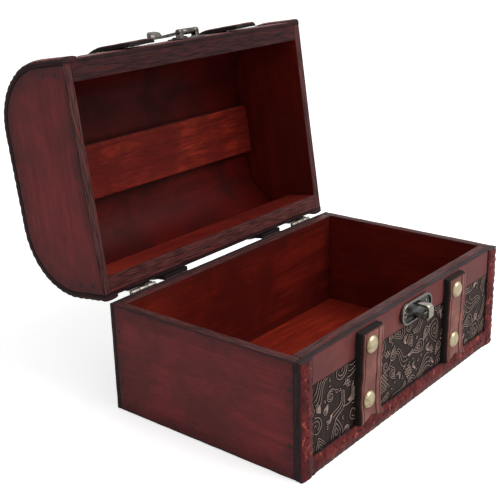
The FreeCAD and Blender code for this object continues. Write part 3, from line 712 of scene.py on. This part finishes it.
def stitch_row(spots, outs, ways):
    """Short raised stitches: flattened beads along a line of points."""
    rings = ((-0.5, 0.25), (-0.34, 0.85), (0.0, 1.0), (0.34, 0.85), (0.5, 0.25))
    around = 8
    verts, faces = [], []
    for spot, out, way in zip(spots, outs, ways):
        side = np.cross(out, way)
        base = len(verts)
        for shift, swell in rings:
            for k in range(around):
                a = 2 * math.pi * k / around
                swell_out = (side * math.cos(a) + out * 0.8 * math.sin(a)) * stitch_radius * swell
                verts.append(spot + way * shift * stitch_length + swell_out)
        faces += joined_rings(base, len(rings), around)
        faces += [list(range(base, base + around)), list(range(len(verts) - around, len(verts)))]
    return verts, faces


chest_width = 220.0
strap_middle = chest_width / 4.5
core_half, face_half, face_inset = 10.25, 9.85, 0.4
strap_share = np.concatenate(
    (np.linspace(-1, -0.9, 6), np.linspace(-0.88, 0.88, 57), np.linspace(0.9, 1, 6)))
core_rounding = 1 - 0.25 * np.clip((np.abs(strap_share) - 0.85) / 0.15, 0, 1) ** 2
base_strap_foot, base_strap_top, base_strap_notch = 11.0, 67.2, 3.4
base_strap_back, base_core_thick = -68.0, 3.4


def base_strap_rise(side, level):
    """How far a strap stands off its bed at a height."""
    top = 1.2 if side == "left" else 0.5
    return top * np.exp(-((level - 64) / 11.0) ** 2) + 0.3 * np.sin(level / 6.5)


def hand_cut(share, run, phase):
    """How far the two edges of a strap wander sideways along its length."""
    left = 0.34 * np.sin(run / 4.7 + phase) + 0.2 * np.sin(run / 1.9 + 2 * phase)
    right = 0.34 * np.sin(run / 5.3 - phase) + 0.2 * np.sin(run / 2.3 + 3 * phase)
    return left * (0.5 - 0.5 * share) + right * (0.5 + 0.5 * share)


def strap_cover(ends):
    """The leather face's height, and its wear and painted-shade values, for each point's distance from the
    strap's ends.
    """
    profile, seam = strap_profile(strap_share)
    soft = 0.5 + 0.5 * np.clip(ends / 0.8, 0, 1) ** 0.5
    edge = np.minimum(ends, face_half * (1 - np.abs(strap_share)))
    return profile * soft, both_faces(edge_mm=edge, seam=np.broadcast_to(seam, edge.shape))


for side, sign in (("left", -1), ("right", 1)):
    middle = sign * strap_middle
    for layer, half, finish, slot in (("core", core_half, core_black, "strap_core"),
                                      ("face", face_half, strap_leather, "plain_leather")):
        inset = core_half - half
        top = base_strap_top - inset
        foot = base_strap_foot + inset + base_strap_notch * (1 - np.abs(strap_share))
        level = foot + (top - foot) * np.linspace(0, 1, 96)[:, None]
        flare = np.exp(-((level - foot) / 4.0) ** 2) * np.clip(strap_share, 0, 1) ** 2
        x = middle + half * strap_share + hand_cut(strap_share, level, sign) + 0.8 * flare
        back = base_strap_back - base_core_thick - base_strap_rise(side, level) - 0.9 * flare
        if layer == "core":
            outer_y, inner_y, marks = back + base_core_thick * (1 - core_rounding), base_strap_back, None
        else:
            cover, marks = strap_cover(np.minimum(level - foot, top - level))
            outer_y, inner_y = back - cover, back + 0.25
        verts, faces = slab(*(np.stack(np.broadcast_arrays(x, y, level), -1) for y in (outer_y, inner_y)))
        make_piece(f"{side}_front_strap_{layer}", verts, faces, finish, "base",
                   [f"base_{side}_strap_{layer}"], marks=marks)
    spots, outs, ways = [], [], []
    for at in strap_seams:
        for level in np.arange(base_strap_foot + 4.6, base_strap_top - 2.0, stitch_pitch):
            height = strap_profile(np.array([at]))[0][0] + stitch_proud
            out = base_strap_back - base_core_thick - base_strap_rise(side, level) - height
            spots.append(np.array((middle + face_half * at, out, level)))
            outs.append(np.array((0.0, -1.0, 0.0)))
            ways.append(np.array((0.0, 0.0, 1.0)))
    verts, faces = stitch_row(spots, outs, ways)
    make_piece(f"{side}_front_strap_stitches", verts, faces, thread, "base", None)


# Base rivets: four domed heads with a rolled rim, pressed from thin brass and clenched
# through the straps. The brass is a little tarnished, and a painted shade darkens the rims.
brass, tree, shader = new_finish("pale_brass", 0.25, 1.0)
spot = laid_at(tree)
tarnish = speckle(tree, spot, 260.0, 4.0, 0.6, 0.4)
tone = mixed(tree, eased(tree, tarnish, 0.35, 0.75), dye(194, 179, 148), dye(154, 137, 106))
# Painted shade: the rims are darkened within a millimetre of their edge.
rim_shade_mask = sums(tree, "MULTIPLY", eased(tree, mark(tree, "edge_mm"), 0.9, 0.0), 0.7)
dress(tree, shader, mixed(tree, rim_shade_mask, tone, dye(110, 90, 60)), eased(tree, tarnish, 0.2, 0.8, 0.28, 0.5),
      speckle(tree, spot, 300.0, 2.0), 0.12)

rivet_radius, rivet_rise, rivet_rim, rivet_shift, rivet_seat = 5.3, 2.5, 0.5, 3.0, 1.25
base_rivet_levels = (59.6, 25.8)


def rivet_heads(name, spots, body, cad_node, place=None):
    """Domed heads with a rolled rim, on points with outward directions."""
    share = np.linspace(0, 1, 15)
    dome = rivet_rim + (rivet_rise - rivet_rim) * np.sqrt(1 - share ** 2.2)
    rolled = ((0.93, 0.46), (0.97, rivet_rim), (1.0, 0.25), (0.98, -0.4))
    outline = [*zip(0.9 * share, dome), *rolled]
    around = 40
    turns = 2 * math.pi * np.arange(around) / around
    verts, faces, edges = [], [], []
    for spot, out in spots:
        turn = Vector((0, 0, 1)).rotation_difference(Vector(out)).to_matrix()
        base = len(verts)
        head = [(0, 0, rivet_rise)]
        for part, height in outline[1:]:
            radius = rivet_radius * part
            head += [(radius * math.cos(a), radius * math.sin(a), height) for a in turns]
        verts += [Vector(spot) + turn @ Vector(point) for point in head]
        edges += [rivet_radius - math.hypot(x, y) for x, y, _ in head]
        faces += [[base, base + 1 + k, base + 1 + (k + 1) % around] for k in range(around)]
        faces += joined_rings(base + 1, len(outline) - 1, around)
        faces.append(list(range(len(verts) - around, len(verts))))
    make_piece(name, [tuple(v) for v in verts], faces, brass, body, [cad_node], place=place,
               marks={"edge_mm": edges}, crease=60)


spots = []
for side, sign in (("left", -1), ("right", 1)):
    for level in base_rivet_levels:
        face = base_strap_back - base_core_thick - base_strap_rise(side, level) - rivet_seat
        spots.append(((sign * strap_middle - rivet_shift, face, level), (0, -1, 0)))
rivet_heads("front_rivets", spots, "base", "base_rivets")


# Keeper: an antique-plated oblong plate with a raised rim, a bent staple and two screws.
# The plating is mottled dark and bright, partly as painted reflections, and its sharp edges are painted
# bright, part rubbed plating and part highlight.
def plated_finish(name, dark, bright, gloss, rubbed=1.0):
    finish, tree, shader = new_finish(name, gloss, 1.0)
    spot = laid_at(tree)
    # Painted reflections and highlight: the cloud mottles the plating dark and bright, and the sharp edges
    # are painted bright.
    cloud = speckle(tree, spot, 220.0, 4.0, 0.6, 0.4)
    rub = eased(tree, node(tree, "NewGeometry").outputs["Pointiness"], 0.505, 0.6, 0.0, rubbed)
    tone = mixed(tree, eased(tree, cloud, 0.3, 0.75), dark, bright)
    tone = mixed(tree, rub, tone, dye(188, 184, 174))
    dress(tree, shader, tone, eased(tree, cloud, 0.2, 0.8, gloss - 0.08, gloss + 0.12),
          speckle(tree, spot, 700.0, 3.0), 0.2)
    return finish


latch_plate = plated_finish("latch_plate", dye(24, 25, 24), dye(72, 70, 65), 0.22)
latch_loop = plated_finish("latch_loop", dye(64, 60, 53), dye(178, 170, 152), 0.24)


def softened(name, cad_node, ease, finish, body, reshape=None):
    """The CAD piece with its sharp edges eased, its corners first moved by reshape."""
    work = bmesh.new()
    work.from_mesh(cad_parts[cad_node].data)
    bmesh.ops.remove_doubles(work, verts=work.verts, dist=1e-6)
    bmesh.ops.dissolve_limit(work, angle_limit=math.radians(1), verts=work.verts, edges=work.edges)
    for corner in work.verts if reshape else ():
        corner.co = reshape(corner.co)
    sharp = [e for e in work.edges if e.is_manifold and e.calc_face_angle() > math.radians(35)]
    bmesh.ops.bevel(work, geom=sharp, offset=ease * MM, segments=2, profile=0.5, affect="EDGES",
                    clamp_overlap=True)
    bmesh.ops.triangulate(work, faces=[f for f in work.faces if len(f.verts) > 4])
    mesh = bpy.data.meshes.new(name)
    work.to_mesh(mesh)
    work.free()
    laid = [corner.co for corner in mesh.vertices]
    fix_piece(name, mesh, laid, finish, body, [cad_node], crease=40)


softened("keeper_back_plate", "keeper_plate", 0.35, latch_plate, "base")
softened("keeper_loop", "keeper_staple", 0.45, latch_loop, "base")
softened("keeper_screw_heads", "keeper_screws", 0.1, latch_plate, "base")

# Base nails: round steel heads, driven through the end panels into the boards behind them
# and stained over dark with the wood.
nail_dark, tree, shader = new_finish("nail_dark", 0.5, 0.6)
rust = speckle(tree, laid_at(tree), 600.0, 3.0)
dress(tree, shader, mixed(tree, rust, dye(24, 14, 15), dye(62, 38, 36)))
softened("end_panel_nails", "base_nails", 0.08, nail_dark, "base")


# Lid carcase: two arched end panels, a front and a back rail, a slat under the crown, and
# a thin ply skin bent over them. It is drawn shut, about the hinge line, and set open.
open_angle = math.radians(98.0)
hinge_line = Vector((0, 71.3, 68.05)) * MM
lid_open = Matrix.Translation(hinge_line) @ Matrix.Rotation(-open_angle, 4, "X")
half_width, inner_width, face_width = chest_width / 2, 103.8, 99.0
lid_rim, lid_shoulder, shoulder_bend = 2.05, 24.85, 42.0
lid_cover, lid_depth, lid_crown = 4.3, 142.8, 62.55


def arch_line(out, back_foot=0.0, front_foot=0.0, step=1.0):
    """Points and outward directions over the lid, from the back foot to the front foot."""
    radius = shoulder_bend - lid_cover + out
    front_bend = -lid_depth + shoulder_bend
    count = max(2, round((lid_shoulder - lid_rim - back_foot) / step))
    rising = np.linspace(lid_rim + back_foot, lid_shoulder, count, endpoint=False)
    turns = np.linspace(0, math.pi / 2, round(radius * math.pi / 2 / step), endpoint=False)
    cos, sin = np.cos(turns), np.sin(turns)
    count = round((lid_depth - 2 * shoulder_bend) / step)
    forward = np.linspace(-shoulder_bend, front_bend, count, endpoint=False)
    count = max(2, round((lid_shoulder - lid_rim - front_foot) / step))
    falling = np.linspace(lid_shoulder, lid_rim + front_foot, count)
    points = (strand(-lid_cover + out, rising),
              strand(-shoulder_bend + radius * cos, lid_shoulder + radius * sin),
              strand(forward, lid_shoulder + radius),
              strand(front_bend - radius * sin, lid_shoulder + radius * cos),
              strand(front_bend - radius, falling))
    ways = (strand(np.ones_like(rising), 0.0), strand(cos, sin), strand(np.zeros_like(forward), 1.0),
            strand(-sin, cos), strand(-np.ones_like(falling), 0.0))
    return np.concatenate(points), np.concatenate(ways)


def arched_panel(side, x_low, x_high, inner_sign):
    """A flat panel with the lid's outline and eased edges, stained redder on its inner side."""
    outline, _ = arch_line(0.0, step=2.2)
    feet = np.linspace(outline[-1], outline[0], 62)[1:-1]
    outline = np.concatenate((outline, feet))
    centre = np.array((-lid_depth / 2, 28.3))
    insets = np.concatenate(([0, 0.3, 0.9, 1.6], np.linspace(3, 24, 8)))
    ease, ease_reach, hub_inset = 0.8, 0.9, 30.0
    drops = ease * (1 - np.sqrt(1 - (1 - np.minimum(insets / ease_reach, 1)) ** 2))
    cut = np.select((insets == 0, insets < 0.5), (1.0, 0.55), 0.0)
    away = outline - centre
    reach = np.linalg.norm(away, axis=1, keepdims=True)
    count = len(outline)
    block = count * len(insets) + 1
    ring = np.arange(count)
    ahead = np.roll(ring, -1)
    verts, faces = [], np.stack((ring, block + ring, block + ahead, ahead), -1).tolist()
    for x_face, inward in ((x_low, 1), (x_high, -1)):
        start = len(verts)
        for inset, drop in zip(insets, drops):
            verts += [(x_face + inward * drop, y, z) for y, z in centre + away * (1 - inset / reach)]
        faces += joined_rings(start, len(insets), count)
        last, hub = len(verts) - count, np.full(count, len(verts))
        faces += np.stack((last + ring, last + ahead, hub), -1).tolist()
        verts.append((x_face, *centre))
    marks = {label: np.tile(np.append(np.repeat(values, count), middle), 2)
             for label, values, middle in (("edge_mm", insets, hub_inset), ("thin", cut, 0.0))}
    marks["depth_mm"] = np.array(verts)[:, 0] - x_low
    panel = make_piece(f"lid_{side}_end_panel", verts, faces, panel_stain, "lid",
                       [f"lid_{side}_end"], place=lid_open, marks=marks)
    paint_side(panel, inner_end_stain, 0, inner_sign)


arched_panel("left", -half_width, -inner_width, 1)
arched_panel("right", inner_width, half_width, -1)

rail_thick, slat_width, slat_thick, slat_middle = 10.3, 36.0, 6.0, -66.4
back_rail_stain, front_rail_stain = (
    stained_ply(f"{rail}_rail_stain", (96, 24, 18), (124, 36, 26), (88, 22, 17), (44, 24, 24), "x", 1.4,
                painted_left_light=0.6, plies=plies)
    for rail, plies in (("back", ((28, 15, 17), (108, 60, 57), (112, 36, 36))),
                        ("front", ((22, 13, 15), (70, 39, 39), (88, 29, 31)))))
slat_stain = stained_ply("slat_stain", (88, 19, 13), (160, 50, 33), (96, 23, 17), (60, 18, 15), "x", 1.2,
                         pores=0.55, painted_left_light=0.65)


def lid_board(name, low, high, through, finish, cad_node, radius=0.7):
    """One board of the lid, between two corners of the shut lid."""
    verts, faces, marks = rounded_board(low, high, radius, through)
    make_piece(name, verts, faces, finish, "lid", [cad_node], place=lid_open, marks=marks)


back_face, front_face = -lid_cover, -lid_depth + lid_cover
lid_board("lid_front_rail_board", (-inner_width, front_face, lid_rim),
          (inner_width, front_face + rail_thick, lid_shoulder), 1, front_rail_stain, "lid_front_rail")
lid_board("lid_back_rail_board", (-inner_width, back_face - rail_thick, lid_rim),
          (inner_width, back_face, lid_shoulder), 1, back_rail_stain, "lid_back_rail")
lid_board("lid_slat_board", (-inner_width, slat_middle - slat_width / 2, lid_crown - slat_thick),
          (inner_width, slat_middle + slat_width / 2, lid_crown), 2, slat_stain, "lid_top_slat", 0.9)

skin_thick, skin_step = 2.0, 2.0
skin_stain = stained_ply("skin_stain", (68, 12, 10), (82, 16, 13), (48, 9, 8), (40, 13, 12), "x",
                         plies=((18, 11, 13), (56, 36, 38), (64, 26, 28)))


def bent_sheet(x_values, inner_out, outer_out, back_foot, front_foot, step):
    """Two matching grids over the arch, for a sheet of even or shaped thickness."""
    inner_line, ways = arch_line(inner_out, back_foot, front_foot, step)
    thickness = np.broadcast_to(outer_out - inner_out, (len(inner_line), len(x_values)))
    grid = np.zeros((len(inner_line), len(x_values), 3))
    grid[..., 0] = x_values
    grid[..., 1:] = inner_line[:, None, :]
    outer = grid.copy()
    outer[..., 1:] += ways[:, None, :] * thickness[..., None]
    return outer, grid


skin_x = np.linspace(-half_width, half_width, 74)
outer, inner = bent_sheet(skin_x, 0.0, skin_thick, 0.0, 0.0, skin_step)
verts, faces = slab(outer, inner)
steps = np.arange(outer.shape[0])
to_foot = np.minimum(steps, steps[::-1])[:, None] * skin_step
edge = np.minimum(to_foot, (half_width - np.abs(skin_x))[None, :])
marks = both_faces(edge_mm=edge, thin=np.where(edge < 0.01, 1.0, 0.0))
marks["depth_mm"] = np.repeat((skin_thick, 0.0), edge.size)
make_piece("lid_bent_skin", verts, faces, skin_stain, "lid", ["lid_skin"], place=lid_open,
           marks=marks)

# Lid trims: the same hammered wooden strips as on the base, bent round the arch at each
# end of the lid and glued to the skin, flush with the end panels.
trim_thick = 2.3
for side, x_start, seed in (("left", -half_width, 7), ("right", face_width, 8)):
    line, ways = arch_line(skin_thick, step=trim_step)
    spine = [(x_start, y, z) for y, z in line]
    hammered_strip(f"lid_{side}_edge_trim", spine, (1, 0, 0), [(0, a, b) for a, b in ways],
                   half_width - face_width, trim_thick, "lid", f"lid_{side}_trim", seed, place=lid_open)

# Lid leather: a smooth band along the front rim, and pressed leather bent over the rest,
# both glued to the skin between the trims.
leather_thick, band_height, leather_lift = 0.8, 16.8, 2.5
leather_sheet("lid_front_leather_band", (-face_width, front_face - skin_thick, lid_rim), (1, 0, 0), (0, 0, 1),
              (0, -1, 0), 2 * face_width, band_height, leather_thick, band_leather, "lid",
              "lid_leather_band", place=lid_open)

cover_cell = 0.5
run = run_of(arch_line(skin_thick, leather_lift, band_height, cover_cell)[0])
across, up, field = scroll_field(2 * face_width, run[-1], cover_cell, 23)
rows = np.clip(np.searchsorted(up, run), 0, len(up) - 1)
field = field[rows]
cover_top = skin_thick + hide_ground + pressed(field)
outer, inner = bent_sheet(across - face_width, skin_thick, cover_top, leather_lift, band_height, cover_cell)
verts, faces = backed_sheet(outer, inner)
to_trim = np.broadcast_to(np.minimum(across, across[-1] - across), field.shape)
make_piece("lid_embossed_cover", verts, faces, embossed_hide, "lid",
           ["lid_embossed_leather"], place=lid_open, marks=hide_marks(field, to_trim))

# Lid straps: the same thick straps, carried over the arch to a tail behind the hinge. They
# are drawn thin over the front shoulder, and their cut front ends stand off the rim.
strap_bed, lid_core_thick, strap_tail, strap_over, tip_notch, tip_lift = 2.8, 2.6, 3.15, 2.0, 2.6, 1.3
lid_face_share, lid_strap_rows = 0.8, 300


def along_arch(out, back_foot, front_foot):
    """A strap's grid of points and outward directions, and each point's distance from tail and tip."""
    line, ways = arch_line(out, back_foot, front_foot, 0.8)
    run = run_of(line)
    length = run[-1] - tip_notch * (1 - np.abs(strap_share))
    at = np.linspace(0, 1, lid_strap_rows)[:, None] * length
    spots, outs = (np.stack([np.interp(at, run, column) for column in table.T], -1)
                   for table in (line, ways))
    return spots, outs, at, run[-1] - at


def strap_stand(to_tip):
    """How far the strap has lifted off its bed, and its core's share of full thickness."""
    pulled = 1 - 0.3 * np.exp(-(to_tip / 25) ** 2) - 0.6 * np.exp(-((to_tip - 48) / 17) ** 2)
    return tip_lift * np.exp(-(to_tip / 15) ** 2), pulled


def strap_layer(spots, outs, x, low, thick):
    """Outer and inner grids of one layer of a strap, at a height over its line."""
    grids = []
    for height in (low + thick, low):
        grid = np.zeros(spots.shape[:2] + (3,))
        grid[..., 0] = x
        grid[..., 1:] = spots + outs * height[..., None]
        grids.append(grid)
    return grids


for side, sign in (("left", -1), ("right", 1)):
    middle = sign * strap_middle
    spots, outs, _, to_tip = along_arch(strap_bed, 0.0, -strap_over)
    lift, pulled = strap_stand(to_tip)
    x = middle + core_half * strap_share + hand_cut(strap_share, to_tip, sign)
    verts, faces = slab(*strap_layer(spots, outs, x, lift, lid_core_thick * pulled * core_rounding))
    make_piece(f"lid_{side}_long_strap_core", verts, faces, core_black, "lid",
               [f"lid_{side}_strap_core"], place=lid_open)
    spots, outs, at, to_tip = along_arch(strap_bed + lid_core_thick, -strap_tail, face_inset - strap_over)
    lift, pulled = strap_stand(to_tip)
    low = lift - lid_core_thick * (1 - pulled)
    cover, marks = strap_cover(np.minimum(at, at[-1:] - at))
    x = middle + face_half * strap_share + hand_cut(strap_share, to_tip, sign)
    verts, faces = slab(*strap_layer(spots, outs, x, low, lid_face_share * cover))
    make_piece(f"lid_{side}_long_strap_face", verts, faces, strap_leather, "lid",
               [f"lid_{side}_strap_face"], place=lid_open, marks=marks)
    profile = strap_profile(strap_share)[0]
    threads, normals, along = [], [], []
    for seam_at in strap_seams:
        column = int(np.abs(strap_share - seam_at).argmin())
        for distance in np.arange(stitch_pitch, at[-1, column] - 2.0, stitch_pitch):
            row = int(np.searchsorted(at[:, column], distance))
            out = np.array((0.0, *outs[row, column]))
            height = low[row, column] + lid_face_share * profile[column] + stitch_proud
            threads.append(np.array((x[row, column], *spots[row, column])) + out * height)
            normals.append(out)
            step = np.array((0.0, *(spots[row, column] - spots[row - 1, column])))
            along.append(step / np.linalg.norm(step))
    verts, faces = stitch_row(threads, normals, along)
    make_piece(f"lid_{side}_strap_stitches", verts, faces, thread, "lid", None,
               place=lid_open)

# Lid rivets and nails: three of the same brass heads on each strap, at the two ends of the
# crown and at the back, and steel nails driven through the end panels.
lid_rivet_seat = 1.1
strap_out = strap_bed + lid_core_thick + lid_rivet_seat
crown = lid_crown + strap_out
spots = []
for sign in (-1, 1):
    across_at = sign * strap_middle - rivet_shift
    spots += [((across_at, -shoulder_bend - rivet_radius, crown), (0, 0, 1)),
              ((across_at, -lid_depth + shoulder_bend + rivet_radius, crown), (0, 0, 1)),
              ((across_at, back_face + strap_out, lid_shoulder - rivet_radius), (0, 1, 0))]
rivet_heads("lid_strap_rivets", spots, "lid", "lid_rivets", place=lid_open)
softened("lid_panel_nails", "lid_nails", 0.08, nail_dark, "lid")

# Butt hinges: two small plated steel hinges with three knuckles and a headed pin, their
# leaves screwed to the outside of the box's back and of the lid's back.
hinge_plate = plated_finish("hinge_plate", dye(82, 72, 64), dye(116, 102, 90), 0.42)
for side in ("left", "right"):
    softened(f"{side}_hinge_base_leaf", f"hinge_{side}_base_leaf", 0.12, hinge_plate, "base")
    softened(f"{side}_hinge_lid_leaf", f"hinge_{side}_lid_leaf", 0.12, hinge_plate, "lid")
    softened(f"{side}_hinge_knuckle_pin", f"hinge_{side}_pin", 0.12, hinge_plate, "base")
softened("base_leaf_screws", "hinge_base_screws", 0.1, hinge_plate, "base")
softened("lid_leaf_screws", "hinge_lid_screws", 0.1, hinge_plate, "lid")

# Hasp: a plated back plate with two lugs, a headed pin, and a slotted flap with a curled
# lip that swings down over the staple. It is folded back on the lid here.
latch_flap = plated_finish("latch_flap", dye(26, 22, 21), dye(112, 106, 99), 0.26, 0.3)
softened("hasp_back_plate", "hasp_plate", 0.2, latch_flap, "lid")
softened("hasp_swing_pin", "hasp_pin", 0.12, latch_flap, "lid")
softened("hasp_screw_heads", "hasp_screws", 0.1, latch_flap, "lid")
flap_pivot, flap_fold = Vector((3.5, -145.9, 11.65)) * MM, math.radians(-185)
flap_place = lid_open @ Matrix.Translation(flap_pivot) @ Matrix.Rotation(flap_fold, 4, "X")
lip_start, lip_bend, lip_sweep = -28.0, 5.2, math.radians(96)


def round_lip(spot):
    """Narrow the lip toward its tip, so that it ends in a half round."""
    x, y, z = (flap_place.inverted() @ spot) / MM
    turned = math.atan2(lip_start - z, lip_bend - y) / lip_sweep
    if z < lip_start - 0.01:
        x *= math.sqrt(max(0.0, 1 - min(turned, 1.0) ** 2.4))
    return flap_place @ (Vector((x, y, z)) * MM)


softened("hasp_swing_flap", "hasp_flap", 0.2, latch_flap, "flap", round_lip)

# The studio: a pale floor that runs into the white surround, one broad lamp over the
# front and right, and an even white sky for fill.
scene = bpy.context.scene
scene.view_settings.view_transform = "Standard"
scene.world = bpy.data.worlds.new("white_room")
scene.world.use_nodes = True
tree = scene.world.node_tree
tree.nodes.clear()
sky_fill, sky_white, floor_glow = 0.62, 1.0, 0.56
path = node(tree, "LightPath").outputs
mirrored = sums(tree, "MAXIMUM", path["Is Glossy Ray"], path["Is Transmission Ray"])
seen = sums(tree, "MAXIMUM", path["Is Camera Ray"], mirrored)
fill = node(tree, "MapRange", {"Value": seen, "To Min": sky_fill, "To Max": sky_white}).outputs[0]
white = (1.0, 1.0, 1.0, 1.0)
sky = node(tree, "Background", {"Color": white, "Strength": fill})
tree.links.new(sky.outputs[0], node(tree, "OutputWorld").inputs["Surface"])

floor_paint, tree, shader = new_finish("floor_paint", 0.9)
shader.inputs["Base Color"].default_value = (0.86, 0.86, 0.86, 1.0)
shader.inputs["Specular IOR Level"].default_value = 0.0
path = node(tree, "LightPath").outputs
lift = sums(tree, "MULTIPLY", path["Is Camera Ray"], floor_glow)
glow = node(tree, "Emission", {"Color": white, "Strength": lift})
both_shaders = node(tree, "AddShader", {0: shader.outputs[0], 1: glow.outputs[0]})
tree.links.new(both_shaders.outputs[0], tree.nodes["Material Output"].inputs["Surface"])
floor_mesh = bpy.data.meshes.new("studio_floor")
floor_half, floor_level = 6.0, -0.0003
corners = [(x * floor_half, y * floor_half, floor_level) for x, y in ((-1, -1), (1, -1), (1, 1), (-1, 1))]
floor_mesh.from_pydata(corners, [], [(0, 1, 2, 3)])
floor_mesh.materials.append(floor_paint)
studio_floor = bpy.data.objects.new("studio_floor", floor_mesh)
bpy.context.collection.objects.link(studio_floor)

lamp_place, lamp_aim = Vector((0.35, -0.75, 1.15)), Vector((0, 0, 0.08))
light = bpy.data.lights.new("broad_lamp", "AREA")
light.size = 0.9
light.energy = 14.0
lamp = bpy.data.objects.new("broad_lamp", light)
lamp.location = lamp_place
lamp.rotation_euler = (lamp_aim - lamp_place).to_track_quat("-Z", "Y").to_euler()
bpy.context.collection.objects.link(lamp)
